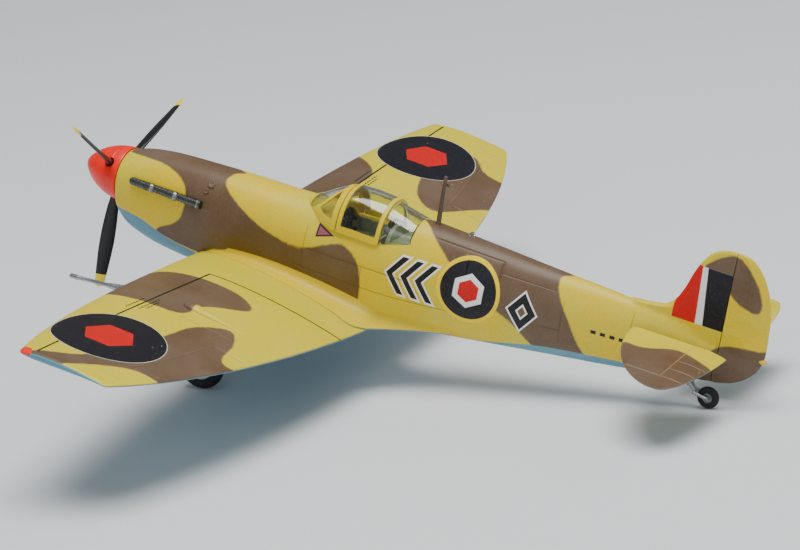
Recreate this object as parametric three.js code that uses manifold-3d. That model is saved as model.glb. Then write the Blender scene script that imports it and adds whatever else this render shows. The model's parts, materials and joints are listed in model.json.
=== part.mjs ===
// A 1:72 plastic model of a single-seat propeller fighter with a clipped elliptical wing,
// standing on its two main wheels and its tail wheel.
//
// Every shape is drawn with the aircraft level: millimetres, x to port, y aft from the
// spinner tip, z up from the propeller's axis. The whole aircraft is then pitched until all
// three wheels touch the ground, and moved so that the origin is the centre of its base.
import * as THREE from 'three';
import { mergeVertices } from 'three/addons/utils/BufferGeometryUtils.js';
import Module from 'manifold-3d';

const wasm = await Module();
wasm.setup();
const { Manifold, Mesh: SolidMesh } = wasm;

// ---------------------------------------------------------------- driving dimensions
const gap = 0.1; // glue line between two mouldings
const wall = 0.9; // thickness of the fuselage shells
const port = 1;
const starboard = -1;

// Fuselage stations: y, top, bottom, half-width, height of the widest point.
const fuselageStations = [
  [8.8, 4.75, -4.75, 4.75, 0],
  [12, 5.75, -5.6, 4.95, 0],
  [17, 6.5, -6.6, 5.1, 0.2],
  [24, 6.85, -7.8, 5.3, 0.3],
  [33, 7.1, -8.6, 5.7, 0.3],
  [42, 7.2, -9.2, 6, 0.2],
  [50, 7.9, -9.6, 6.05, 0],
  [58, 9, -10, 5.95, 0],
  [64.5, 9.4, -9.5, 5.8, 0],
  [72, 9.15, -8.65, 5.4, 0.4],
  [80, 8.75, -7.5, 4.8, 0.8],
  [90, 8.2, -6.05, 3.9, 1.3],
  [100, 7.75, -4.65, 2.95, 1.8],
  [110, 6.8, -3, 1.95, 2.1],
  [117.6, 5.4, -1.6, 1.1, 2.1],
];
const tailEnd = 117.6;

// Chin cowl under the nose: y, bottom, half-width.
const chinStations = [
  [8.9, -6.3, 3.8],
  [10.2, -7.9, 4.2],
  [12, -8.8, 4.5],
  [16, -9.9, 4.8],
  [21, -10.5, 4.9],
  [25.2, -10.7, 4.9],
];
const chinTop = -4.4;

const wing = {
  tipX: 69.5,
  ellipseX: 77.96, // where the unclipped elliptical plan would end
  leadCentre: 38.2,
  leadDepth: 12.8,
  trailCentre: 37.1,
  trailDepth: 23.4,
  rootZ: -9,
  levelX: 4, // the dihedral fades out inside this half-width
  dihedral: 0.105,
  incidence: 0.035,
  twistY: 36.7,
  rootThickness: 0.135,
  tipThickness: 0.075,
  camber: 0.02,
  rootX: 5.2,
};
const finHinge = tailEnd + 0.3;
// Fin and rudder outline, from the bottom up: z, leading y, trailing y, half-thickness.
const finStations = [
  [-1.4, 117, 118.6, 0.5],
  [-0.5, 116, 121.2, 0.6],
  [0.8, 114, 123.2, 0.65],
  [2.6, 110, 124.7, 0.7],
  [5, 106, 125.4, 0.75],
  [7.8, 102, 125.4, 0.75],
  [8.3, 106.4, 125.35, 0.72],
  [9.4, 108.6, 125.3, 0.7],
  [11.8, 110.1, 125.1, 0.65],
  [15.2, 111.9, 124, 0.55],
  [17.6, 113.2, 122.7, 0.5],
  [19.4, 114.8, 121.2, 0.42],
  [20.4, 116.6, 119.6, 0.35],
];

const tailplane = {
  halfSpan: { left: 21.9, right: 23.1 }, // the right one sits a little further out
  leadCentre: 115,
  leadDepth: 11.3,
  trailCentre: 116,
  trailDepth: 4.4,
  z: 4.1,
  rootThickness: 0.085,
  tipThickness: 0.05,
};

const spinnerLength = 8.2;
const spinnerRadius = 4.8;
const propeller = { y: 6.33, radius: 21.1, rootRadius: 3.4, angles: [-66.5, 53.5, 173.5] };
const shaft = { radius: 0.75, start: 5, end: 16 };

// Canopy: y, half-width at the sill, sill z, top z.
const canopyStations = [
  [43.6, 2.4, 6.4, 7.3],
  [45.5, 4, 5.6, 8.3],
  [48, 4.9, 4.9, 9.85],
  [50.6, 5.45, 4.7, 11.1],
  [54, 5.55, 4.7, 11.45],
  [59, 5.5, 4.7, 11.05],
  [61.5, 5.2, 5.3, 10.5],
  [64.4, 4.8, 6.2, 9.75],
];
const canopy = { front: 43.9, archY: 51.1, hoodEnd: 59, end: 64.4, glass: 0.35, rearInset: 0.55 };
const cockpit = { sillZ: 4.6, shelfZ: 6.1, floorZ: -4.2, floorTopZ: -3.4, front: 46, back: 60.4 };
const panel = { y: 49.1, thickness: 0.6, halfWidth: 3.6, bottom: -1.5, top: 6.4 };
const bulkhead = { y: 59.3, thickness: 0.7, halfWidth: 3.7, top: 7 };
const seatSize = { halfWidth: 1.9, front: 53.6, back: 57.6, panZ: -2, backZ: 4.2, sheet: 0.6 };

const mainWheel = { x: 12.1, y: 33.3, z: -23.3, radius: 4.2, width: 1.9, hub: 2.5 };
const tailWheel = { x: 0, y: 117.6, z: -4.5, radius: 1.8, width: 1.1, hub: 0.8 };
const mainLeg = { topX: 9.1, topY: 34.4, topZ: -10.2, footX: 10.5, cylinder: 0.65, piston: 0.48 };
const kneePart = 0.5; // where the leg steps from cylinder to piston
const axle = { radius: 0.45, bore: 0.53, tipX: 13.1 };
const tailAxle = { radius: 0.3, bore: 0.38 };

const quarterTurn = Math.PI / 2;

// The pitch that stands the wheels of two sizes on one level floor.
const wheelbase = Math.hypot(tailWheel.y - mainWheel.y, tailWheel.z - mainWheel.z);
const chordAngle = Math.atan2(tailWheel.z - mainWheel.z, tailWheel.y - mainWheel.y);
const pitch = Math.asin((tailWheel.radius - mainWheel.radius) / wheelbase) - chordAngle;

// ---------------------------------------------------------------- colours
const colours = {
  sand: 0xcdb35c,
  azure: 0x8fa3ac,
  orange: 0xf0482a,
  black: 0x1c1b1d,
  exhaust: 0x5d5a55,
  steel: 0x8d8f92,
  silver: 0xb8babb,
  tyre: 0x161616,
  cockpit: 0x76805a,
  brown: 0x6b5136,
  glass: 0xdfe9ea,
  leather: 0x3a2c20,
};

function material(colour, roughness = 0.45, metalness = 0) {
  return new THREE.MeshStandardMaterial({ color: colours[colour], roughness, metalness });
}

function clear() {
  const glass = material('glass', 0.05);
  glass.transparent = true;
  glass.opacity = 0.35;
  return glass;
}

// ---------------------------------------------------------------- geometry helpers
// A smooth curve through rows of numbers: each column is followed by a cubic of the first.
function along(rows, at) {
  const last = rows.length - 1;
  if (at <= rows[0][0]) return rows[0].slice(1);
  if (at >= rows[last][0]) return rows[last].slice(1);
  let i = 0;
  while (rows[i + 1][0] < at) i += 1;
  const step = rows[i + 1][0] - rows[i][0];
  const t = (at - rows[i][0]) / step;
  const slope = (j, k) => {
    const before = rows[Math.max(j - 1, 0)];
    const after = rows[Math.min(j + 1, last)];
    return (after[k] - before[k]) / (after[0] - before[0]);
  };
  return rows[i].slice(1).map((value, n) => {
    const k = n + 1;
    const h00 = 2 * t ** 3 - 3 * t ** 2 + 1;
    const h10 = t ** 3 - 2 * t ** 2 + t;
    const h01 = 1 - h00;
    const h11 = t ** 3 - t ** 2;
    const ends = h00 * value + h01 * rows[i + 1][k];
    return ends + step * (h10 * slope(i, k) + h11 * slope(i + 1, k));
  });
}

function range(from, to, count) {
  return Array.from({ length: count + 1 }, (_, i) => from + ((to - from) * i) / count);
}

// A closed solid through rings of equal length, with a fan over each end.
function loft(rings) {
  const count = rings[0].length;
  const points = rings.flat();
  const centre = (ring) => ring.reduce((sum, p) => sum.add(p), new THREE.Vector3()).divideScalar(count);
  const first = points.push(centre(rings[0])) - 1;
  const last = points.push(centre(rings.at(-1))) - 1;
  const index = [];
  for (let r = 0; r + 1 < rings.length; r += 1) {
    for (let i = 0; i < count; i += 1) {
      const a = r * count + i;
      const b = r * count + ((i + 1) % count);
      index.push(a, b, b + count, a, b + count, a + count);
    }
  }
  const end = (rings.length - 1) * count;
  for (let i = 0; i < count; i += 1) {
    const j = (i + 1) % count;
    index.push(first, j, i, last, end + i, end + j);
  }
  const geometry = new THREE.BufferGeometry();
  geometry.setAttribute('position', new THREE.Float32BufferAttribute(points.flatMap((p) => p.toArray()), 3));
  geometry.setIndex(index);
  return facingOut(geometry);
}

function facingOut(geometry) {
  const position = geometry.attributes.position;
  const index = geometry.index.array;
  const corner = [new THREE.Vector3(), new THREE.Vector3(), new THREE.Vector3()];
  let volume = 0;
  for (let i = 0; i < index.length; i += 3) {
    corner.forEach((p, k) => p.fromBufferAttribute(position, index[i + k]));
    volume += corner[0].dot(corner[1].cross(corner[2]));
  }
  if (volume < 0) {
    for (let i = 0; i < index.length; i += 3) {
      [index[i], index[i + 1]] = [index[i + 1], index[i]];
    }
  }
  return geometry;
}

function solid(geometry) {
  const bare = geometry.clone();
  bare.deleteAttribute('normal');
  bare.deleteAttribute('uv');
  const merged = mergeVertices(bare, 1e-5);
  return new Manifold(new SolidMesh({
    numProp: 3,
    vertProperties: merged.attributes.position.array,
    triVerts: new Uint32Array(merged.index.array),
  }));
}

function geometryOf(manifold) {
  const mesh = manifold.getMesh();
  const geometry = new THREE.BufferGeometry();
  geometry.setAttribute('position', new THREE.BufferAttribute(mesh.vertProperties, 3));
  geometry.setIndex(new THREE.BufferAttribute(mesh.triVerts, 1));
  return geometry;
}

// A box between two corners, used to cut with.
function block(x0, x1, y0, y1, z0, z1) {
  const box = new THREE.BoxGeometry(x1 - x0, y1 - y0, z1 - z0);
  return box.translate((x0 + x1) / 2, (y0 + y1) / 2, (z0 + z1) / 2);
}

const far = 200;

function halfSpace(side, edge) {
  return solid(side > 0 ? block(edge, far, -far, far, -far, far) : block(-far, -edge, -far, far, -far, far));
}

// A round bar between two points, with its own radius at each end.
function bar(from, to, radiusFrom, radiusTo = radiusFrom, sides = 12) {
  const start = new THREE.Vector3(...from);
  const end = new THREE.Vector3(...to);
  const geometry = new THREE.CylinderGeometry(radiusTo, radiusFrom, start.distanceTo(end), sides);
  const turn = new THREE.Quaternion().setFromUnitVectors(
    new THREE.Vector3(0, 1, 0), end.clone().sub(start).normalize());
  geometry.applyQuaternion(turn);
  const middle = start.add(end).multiplyScalar(0.5);
  return geometry.translate(middle.x, middle.y, middle.z);
}

function mirrored(geometry, side) {
  if (side === port) return geometry;
  const copy = geometry.clone().scale(-1, 1, 1);
  const index = copy.index.array;
  for (let i = 0; i < index.length; i += 3) {
    [index[i], index[i + 1]] = [index[i + 1], index[i]];
  }
  return copy;
}

// ---------------------------------------------------------------- shapes of the airframe
const ringSides = 24;

function fuselageRing(y, grow) {
  const [top, bottom, halfWidth, middle] = along(fuselageStations, y);
  return range(0, 2 * Math.PI, ringSides).slice(0, ringSides).map((angle) => {
    const up = Math.cos(angle);
    const lower = up < 0;
    const height = lower ? middle - bottom + grow : top - middle + grow;
    const fullness = lower ? 0.88 : 1;
    const x = (halfWidth + grow) * Math.sign(Math.sin(angle)) * Math.abs(Math.sin(angle)) ** fullness;
    return new THREE.Vector3(x, y, middle + height * Math.sign(up) * Math.abs(up) ** fullness);
  });
}

function fuselageBody(grow = 0, from = 8.8, to = tailEnd, steps = 18) {
  return loft(range(from, to, steps).map((y) => fuselageRing(y, grow)));
}

function chinBody(grow = 0) {
  const rows = range(chinStations[0][0], chinStations.at(-1)[0], 7);
  return loft(rows.map((y) => {
    const [bottom, halfWidth] = along(chinStations, y);
    return range(0, Math.PI, 12).map((angle) => {
      const x = (halfWidth + grow) * Math.cos(angle);
      const depth = (chinTop - bottom + grow) * Math.abs(Math.sin(angle)) ** 0.8;
      return new THREE.Vector3(x, y, chinTop + 2 * grow - depth);
    });
  }));
}

function wingSection(x) {
  const s = Math.sqrt(1 - (x / wing.ellipseX) ** 2);
  const lead = wing.leadCentre - wing.leadDepth * s;
  const trail = wing.trailCentre + wing.trailDepth * s;
  const t = Math.abs(x) / wing.tipX;
  const ratio = wing.rootThickness + (wing.tipThickness - wing.rootThickness) * t;
  const z = wing.rootZ + wing.dihedral * (Math.hypot(x, wing.levelX) - wing.levelX);
  return { lead, chord: trail - lead, ratio, z };
}

function thicknessAt(u, ratio) {
  const forward = 0.2969 * Math.sqrt(u) - 0.126 * u;
  return 5 * ratio * (forward - 0.3516 * u ** 2 + 0.2843 * u ** 3 - 0.1015 * u ** 4);
}

const chordSteps = [0, 0.015, 0.06, 0.15, 0.3, 0.48, 0.66, 0.84, 1];

// The height of the wing's surface: side 1 is the upper skin, -1 the lower, 0 the mid line.
function wingHeight(x, u, side) {
  const { lead, chord, ratio, z } = wingSection(x);
  const y = lead + u * chord;
  const camber = 4 * wing.camber * u * (1 - u) * chord;
  const half = thicknessAt(u, ratio) * chord + 0.12;
  return z + wing.incidence * (wing.twistY - y) + camber + side * half;
}

// One skin of the wing, from the mid line to the outer surface.
function wingSkin(side, fromX, toX, split) {
  const steps = Math.max(4, Math.round((toX - fromX) / 5));
  const rings = range(fromX, toX, steps).map((x) => {
    const { lead, chord } = wingSection(x);
    const at = (u, height) => new THREE.Vector3(x, lead + u * chord, height);
    const outer = chordSteps.map((u) => at(u, wingHeight(x, u, side)));
    const inner = chordSteps.map((u) => at(u, wingHeight(x, u, 0) + side * split));
    return [...outer, ...inner.reverse()];
  });
  return loft(rings);
}

function finBody() {
  const rows = range(finStations[0][0], finStations.at(-1)[0], 11);
  return loft(rows.map((z) => {
    const [lead, trail, half] = along(finStations, z);
    return lensRing((u, side) => new THREE.Vector3(side * half * lens(u), lead + u * (trail - lead), z));
  }));
}

function lens(u) {
  return Math.max(0.12, Math.min(1, 3.2 * Math.sqrt(u) * (1 - u) ** 0.7 + 0.12));
}

function lensRing(point) {
  const steps = [0, 0.08, 0.3, 0.6, 1];
  return [...steps.map((u) => point(u, 1)), ...steps.slice().reverse().map((u) => point(u, -1))];
}

function tailplaneBody(halfSpan) {
  const rows = [...range(0.02, 0.86, 6), 0.935, 0.98].map((part) => part * halfSpan);
  return loft(rows.map((x) => {
    const rest = 1 - (x / halfSpan) ** 2;
    const lead = tailplane.leadCentre - tailplane.leadDepth * rest ** 0.6;
    const trail = tailplane.trailCentre + tailplane.trailDepth * rest ** 0.5;
    const t = x / halfSpan;
    const ratio = tailplane.rootThickness + (tailplane.tipThickness - tailplane.rootThickness) * t;
    const half = (ratio * (trail - lead)) / 2;
    return lensRing((u, side) => new THREE.Vector3(
      x, lead + u * (trail - lead), tailplane.z + side * half * lens(u)));
  }));
}

// Canopy arch from y to y, its outline moved in by inset.
function canopyBody(from, to, inset, drop = 0) {
  return loft(range(from, to, Math.max(4, Math.round((to - from) / 1.6))).map((y) => {
    const [halfWidth, sill, top] = along(canopyStations, y);
    const foot = sill - drop;
    const arch = range(0, Math.PI, 14).map((angle) => new THREE.Vector3(
      (halfWidth - inset) * Math.cos(angle), y, sill + (top - inset - sill) * Math.sin(angle) ** 0.92));
    const left = new THREE.Vector3(halfWidth - inset, y, foot);
    const right = new THREE.Vector3(inset - halfWidth, y, foot);
    return drop > 0 ? [left, ...arch, right] : arch;
  }));
}

// ---------------------------------------------------------------- the fillet at each wing root
// Stations: y, reach along the wing, height up the fuselage side.
const filletStations = [
  [27, 1, 0.8],
  [36, 2.2, 1.8],
  [46, 3.4, 2.8],
  [54, 5, 3.6],
  [58.8, 6.7, 3.9],
  [61.8, 4.7, 3.6],
  [64.7, 2.9, 3],
  [68.4, 1.4, 2],
  [74, 0.2, 0.8],
];
const filletClimb = 0.2; // rise of the fillet's edge behind the wing, per millimetre aft

function filletBody() {
  return loft(range(filletStations[0][0], filletStations.at(-1)[0], 12).map((y) => {
    const [reach, rise] = along(filletStations, y);
    const { lead, chord } = wingSection(wing.rootX);
    const u = THREE.MathUtils.clamp((y - lead) / chord, 0, 1);
    const aft = Math.max(0, y - lead - chord);
    const [, bottom, halfWidth, middle] = along(fuselageStations, y);
    const floor = wingHeight(wing.rootX, u, 1) + aft * filletClimb;
    const side = (z) => halfWidth * Math.sqrt(Math.max(0, 1 - ((z - middle) / (middle - bottom)) ** 2));
    const edge = side(floor);
    const wallFoot = new THREE.Vector3(side(floor + rise) - 0.25, y, floor + rise);
    const tip = new THREE.Vector3(edge + reach, y, floor + wing.dihedral * reach);
    const corner = new THREE.Vector3(edge + 0.35, y, floor + 0.3);
    const bend = new THREE.QuadraticBezierCurve3(wallFoot, corner, tip);
    const under = new THREE.Vector3(edge - 0.6, y, floor - 0.8);
    const base = new THREE.Vector3(tip.x, y, tip.z - 0.25);
    return [new THREE.Vector3(wallFoot.x - 1, y, wallFoot.z), ...bend.getPoints(5), base, under];
  }));
}

// ---------------------------------------------------------------- building the aircraft
const aircraft = new THREE.Group();

function add(name, geometry, finish) {
  const mesh = new THREE.Mesh(geometry, finish);
  mesh.name = name;
  aircraft.add(mesh);
  return mesh;
}

const sides = [['left', port], ['right', starboard]];

// Fuselage halves, with the fin and the wing-root fillets moulded on.
function cockpitOpening() {
  const { sillZ, shelfZ } = cockpit;
  const front = canopy.archY - 0.8;
  const back = canopy.end - 0.2;
  const edge = [[front, sillZ], [canopy.hoodEnd + 0.1, sillZ], [back, shelfZ], [back, 20], [front, 20]];
  return loft([-10, 10].map((x) => edge.map(([y, z]) => new THREE.Vector3(x, y, z))));
}

function bellyCutter() {
  return loft(range(-12, 12, 12).map((x) => {
    const { lead, chord } = wingSection(x);
    const edge = chordSteps.map((u) => {
      const y = lead + u * chord + (u < 0.5 ? -gap : gap);
      return new THREE.Vector3(x, y, wingHeight(x, u, 0) + 2 * gap);
    });
    const floor = (point) => new THREE.Vector3(x, point.y, -20);
    return [...edge, floor(edge.at(-1)), floor(edge[0])];
  }));
}

const fuselageOuter = solid(fuselageBody());
const fuselageCut = solid(fuselageBody(gap, 8.8, tailEnd + 1));
const cavity = solid(fuselageBody(-wall, 10, 113, 12));
const fin = solid(finBody());
const finFront = fin.intersect(solid(block(-far, far, -far, finHinge - gap / 2, -far, far)));
const shaftHole = solid(bar([0, 5, 0], [0, 20, 0], shaft.radius + 0.25));
const wingUpperGrown = solid(wingSkin(1, 2, 14, 0.02)).translate([0, 0, gap]);

for (const [name, side] of sides) {
  const fillet = solid(mirrored(filletBody(), side));
  const skin = solid(mirrored(geometryOf(wingUpperGrown), side));
  const half = fuselageOuter
    .subtract(cavity)
    .add(finFront)
    .add(fillet.subtract(skin).subtract(cavity))
    .subtract(solid(bellyCutter()))
    .subtract(solid(cockpitOpening()))
    .subtract(shaftHole)
    .intersect(halfSpace(side, gap / 4));
  add(`fuselage_${name}_half`, geometryOf(half), material('sand'));
}
const rudder = fin.intersect(solid(block(-far, far, finHinge + gap / 2, far, -far, far)));
add('rudder', geometryOf(rudder), material('sand'));

// Deep chin cowl that carries the air filter, glued under the nose.
const chin = solid(chinBody()).subtract(fuselageCut);
add('chin_cowl', geometryOf(chin), material('azure'));

// Wing: one lower skin from tip to tip and two upper skins.
add('wing_lower', wingSkin(-1, -wing.tipX, wing.tipX, 0), material('azure'));
for (const [name, side] of sides) {
  const skin = solid(wingSkin(1, 2, wing.tipX, gap)).subtract(fuselageCut);
  add(`wing_upper_${name}`, mirrored(geometryOf(skin), side), material('sand'));
}

// Tailplanes, with the elevators moulded on.
const elevatorGap = solid(block(-2, 2, tailEnd - 0.4, far, -far, far));
for (const [name, side] of sides) {
  const plane = solid(tailplaneBody(tailplane.halfSpan[name]))
    .intersect(halfSpace(port, 1.2))
    .subtract(fuselageCut)
    .subtract(elevatorGap);
  add(`tailplane_${name}`, mirrored(geometryOf(plane), side), material('sand'));
}

// Spinner shell, with a hole for each blade, and its back plate.
function spinnerRadiusAt(y) {
  return spinnerRadius * (1 - (1 - Math.min(1, y / spinnerLength)) ** 1.9) ** 0.7;
}

function lathed(profile, segments = 32) {
  const points = profile.map(([radius, y]) => new THREE.Vector2(radius, y));
  const geometry = new THREE.LatheGeometry(points, segments);
  return facingOut(mergedLathe(geometry));
}

function mergedLathe(geometry) {
  geometry.deleteAttribute('normal');
  geometry.deleteAttribute('uv');
  return mergeVertices(geometry, 1e-5);
}

const spinnerWall = 0.8;
const bladeHole = 1.05;
const outside = range(0, spinnerLength, 8).map((y) => [spinnerRadiusAt(y), y]);
const inside = range(1.4, spinnerLength, 4).map((y) => [Math.max(0, spinnerRadiusAt(y) - spinnerWall), y]);
inside[0][0] = 0;
let spinner = solid(lathed([...outside, ...inside.reverse()], 28));
const toRadians = Math.PI / 180;
const bladeAngles = propeller.angles.map((degrees) => degrees * toRadians);
for (const angle of bladeAngles) {
  const reach = [8 * Math.sin(angle), propeller.y, 8 * Math.cos(angle)];
  spinner = spinner.subtract(solid(bar([0, propeller.y, 0], reach, bladeHole, bladeHole, 12)));
}
add('spinner', geometryOf(spinner), material('orange'));

function disc(inner, outer, from, to, segments = 20) {
  return lathed([[inner, from], [outer, from], [outer, to], [inner, to], [inner, from]], segments);
}

add('spinner_back_plate', disc(shaft.radius + gap, spinnerRadius, 8.3, 8.6), material('black'));

// Propeller: a hub on the shaft, and three blades.
const hub = { radius: 2.1, start: 4.6, end: 8.1 };
add('propeller_hub', disc(shaft.radius + gap, hub.radius, hub.start, hub.end), material('black'));

// Blade stations: radius, half-chord, half-thickness, twist from the plane of rotation.
const bladeStations = [
  [2.3, 0.7, 0.7, 1.2],
  [4.6, 0.75, 0.6, 1.2],
  [6.6, 0.98, 0.42, 1.17],
  [9.5, 1.18, 0.33, 1.12],
  [13, 1.26, 0.27, 1.06],
  [17, 1.08, 0.2, 1],
  [19.8, 0.76, 0.16, 0.95],
  [21.1, 0.3, 0.12, 0.93],
];

function bladeBody() {
  return loft(range(2.3, propeller.radius, 10).map((radius) => {
    const [halfChord, halfThick, twist] = along(bladeStations, radius);
    return range(0, 2 * Math.PI, 12).slice(0, 12).map((angle) => {
      const across = halfChord * Math.cos(angle);
      const through = halfThick * Math.sin(angle);
      const x = across * Math.cos(twist) - through * Math.sin(twist);
      const y = across * Math.sin(twist) + through * Math.cos(twist);
      return new THREE.Vector3(x, y, radius);
    });
  }));
}

bladeAngles.forEach((angle, i) => {
  const blade = add(`propeller_blade_${i + 1}`, bladeBody(), material('black'));
  blade.position.set(0, propeller.y, 0);
  blade.rotation.y = angle;
});

add('propeller_shaft', bar([0, shaft.start, 0], [0, shaft.end, 0], shaft.radius), material('steel', 0.35, 1));
add('shaft_bush', disc(shaft.radius + 0.08, 3.9, 10.2, 11.4), material('black'));
add('shaft_collar', disc(shaft.radius + 0.05, 1.7, 11.7, 13), material('black'));

// Exhausts: a row of three flared pipes along each side of the nose.
const exhaust = { y: 11.5, z: 1.45, length: 14, pipes: 3 };

function exhaustPipe(i) {
  const pitchY = exhaust.length / exhaust.pipes;
  const from = exhaust.y + i * pitchY;
  const [, , halfWidth] = along(fuselageStations, from);
  const [, , rearWidth] = along(fuselageStations, from + pitchY);
  const start = [halfWidth + 0.15, from, exhaust.z];
  const end = [rearWidth + 0.4, from + pitchY + 0.35, exhaust.z];
  return solid(bar(start, end, 0.42, 0.62));
}

for (const [name, side] of sides) {
  const pipes = range(0, exhaust.pipes - 1, exhaust.pipes - 1).map(exhaustPipe);
  const joined = pipes.reduce((sum, pipe) => sum.add(pipe)).subtract(fuselageCut);
  add(`exhaust_${name}`, mirrored(geometryOf(joined), side), material('exhaust', 0.4, 0.8));
}

// Cannon barrels in the wing's leading edge, each with its tapered fairing.
const cannon = { x: 28.2, rootY: 27.5, rootZ: -6.75, muzzleY: 15.8, muzzleZ: -7.75 };
const skinNear = solid(wingSkin(-1, 2, 40, -gap));
const wingBody = skinNear.translate([0, 0, gap * 0.6])
  .add(solid(wingSkin(1, 2, 40, 0)))
  .add(skinNear.translate([0, -gap, -gap]));

for (const [name, side] of sides) {
  const slope = (cannon.rootZ - cannon.muzzleZ) / (cannon.rootY - cannon.muzzleY);
  const heightAt = (y) => cannon.muzzleZ + slope * (y - cannon.muzzleY);
  const at = (y) => [cannon.x, y, heightAt(y)];
  const barrel = solid(bar(at(cannon.muzzleY), at(24), 0.34))
    .add(solid(bar(at(22.6), at(cannon.rootY), 0.42, 0.85)))
    .add(solid(bar(at(cannon.muzzleY - 0.2), at(cannon.muzzleY + 1.4), 0.42)))
    .subtract(wingBody);
  add(`cannon_${name}`, mirrored(geometryOf(barrel), side), material('steel', 0.35, 0.9));
}

// Under the wing: square radiator to starboard, round oil cooler to port, pitot head to port.
// Each duct is open at both ends and has a solid web, the matrix, in the middle.
const duct = { x: 20.5, roofZ: -8.2, wall: 0.45 };
const ductRows = [[41, 0.72], [44, 1], [50, 1], [54, 0.6]]; // y, share of the full depth

function radiatorDuct(halfWidth, depth, fullness) {
  const ringAt = (y, size, inset) => range(0, Math.PI, 10).map((angle) => {
    const across = (halfWidth - inset) * Math.sign(Math.cos(angle)) * Math.abs(Math.cos(angle)) ** fullness;
    const down = (depth * size - inset) * Math.sin(angle) ** fullness;
    return new THREE.Vector3(duct.x + across, y, duct.roofZ - down);
  });
  const outer = solid(loft(ductRows.map(([y, size]) => ringAt(y, size, 0))));
  const front = solid(loft([[40, 0.72], [43.6, 0.9]].map(([y, size]) => ringAt(y, size, duct.wall))));
  const rear = solid(loft([[50.5, 0.9], [55, 0.58]].map(([y, size]) => ringAt(y, size, duct.wall))));
  return outer.subtract(front).subtract(rear).subtract(wingBody);
}

add('radiator_housing', mirrored(geometryOf(radiatorDuct(3.8, 4.8, 0.45)), starboard), material('azure'));
add('oil_cooler_housing', geometryOf(radiatorDuct(2.3, 4.9, 1)), material('azure'));

const pitot = { x: 50, y: 36, drop: 2.2, reach: 4 };
const pitotTop = wingHeight(pitot.x, 0.2, -1) - gap - 0.15;
const pitotStem = bar([pitot.x, pitot.y, pitotTop], [pitot.x, pitot.y - 0.4, pitotTop - pitot.drop], 0.3);
const pitotHead = solid(pitotStem)
  .add(solid(bar(
    [pitot.x, pitot.y - 0.2, pitotTop - pitot.drop],
    [pitot.x, pitot.y - pitot.reach, pitotTop - pitot.drop], 0.24, 0.16)));
add('pitot_tube', geometryOf(pitotHead), material('steel'));

// Canopy: fixed windscreen, sliding hood, fixed rear glazing.
const hoodGap = 0.15;

function canopyShell(from, to, inset, innerFrom, innerTo, thickness) {
  const inside = solid(canopyBody(innerFrom, innerTo, inset + thickness, 1));
  return solid(canopyBody(from, to, inset)).subtract(inside);
}

const windscreen = canopyShell(canopy.front, canopy.archY - hoodGap, 0, 44.9, 52, canopy.glass)
  .subtract(fuselageCut.subtract(solid(cockpitOpening())));
add('windscreen', geometryOf(windscreen), clear());
const hood = canopyShell(canopy.archY, canopy.hoodEnd, 0, canopy.archY - 1, canopy.hoodEnd + 1, canopy.glass);
add('sliding_hood', geometryOf(hood), clear());
const rearGlass = canopyShell(canopy.hoodEnd + hoodGap, 64.1, canopy.rearInset, 58, 65, 0.3)
  .subtract(fuselageCut.subtract(solid(cockpitOpening())));
add('rear_glazing', geometryOf(rearGlass), clear());

// Cockpit interior.
const inSkin = solid(fuselageBody(-wall - gap, 40, 64, 12));
const fitted = (geometry) => geometryOf(solid(geometry).intersect(inSkin));
const { sheet } = seatSize;
add('cockpit_floor', fitted(block(-5, 5, cockpit.front, cockpit.back, cockpit.floorZ, cockpit.floorTopZ)),
  material('cockpit'));
add('seat_bulkhead', fitted(block(
  -bulkhead.halfWidth, bulkhead.halfWidth, bulkhead.y, bulkhead.y + bulkhead.thickness,
  cockpit.floorTopZ + 2 * gap, bulkhead.top)), material('cockpit'));
add('instrument_panel', fitted(block(
  -panel.halfWidth, panel.halfWidth, panel.y, panel.y + panel.thickness, panel.bottom, panel.top)),
material('black'));

function seatBody() {
  const { halfWidth, front, back, panZ, backZ } = seatSize;
  const cheek = (x) => solid(block(x, x + 0.5, front + 0.2, back - 0.2, panZ + 0.4, panZ + 2.2));
  return solid(block(-halfWidth, halfWidth, front, back - 0.2, panZ, panZ + sheet))
    .add(solid(block(-halfWidth, halfWidth, back - sheet, back, panZ, backZ)))
    .add(cheek(-halfWidth))
    .add(cheek(halfWidth - 0.5))
    .add(solid(block(-1.2, 1.2, front + 1, back - 0.8, cockpit.floorTopZ + gap, panZ + 0.2)));
}
add('pilot_seat', geometryOf(seatBody()), material('cockpit'));
const padTop = 7.6;
const headRest = block(-1.3, 1.3, bulkhead.y - 1, bulkhead.y - 2 * gap, seatSize.backZ + sheet, padTop);
add('head_rest', headRest, material('leather'));

const stick = { y: 53.2, topY: 52.4, topZ: 1.2, gripRadius: 0.6, gripTube: 0.2 };
const grip = new THREE.TorusGeometry(stick.gripRadius, stick.gripTube, 8, 16)
  .rotateX(1.4)
  .translate(0, stick.topY - 0.05, stick.topZ + stick.gripRadius);
const column = solid(bar([0, stick.y, cockpit.floorTopZ + gap], [0, stick.topY, stick.topZ], 0.3, 0.22));
add('control_column', geometryOf(column.add(solid(grip))), material('black'));

const sightFoot = block(-0.6, 0.6, panel.y + 0.1, panel.y + 1.1, 7.9, 8.7);
const reflector = block(-0.45, 0.45, panel.y + 0.3, panel.y + 0.5, 8.6, 9.7);
add('gunsight', geometryOf(solid(sightFoot).add(solid(reflector))), material('black'));

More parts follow.
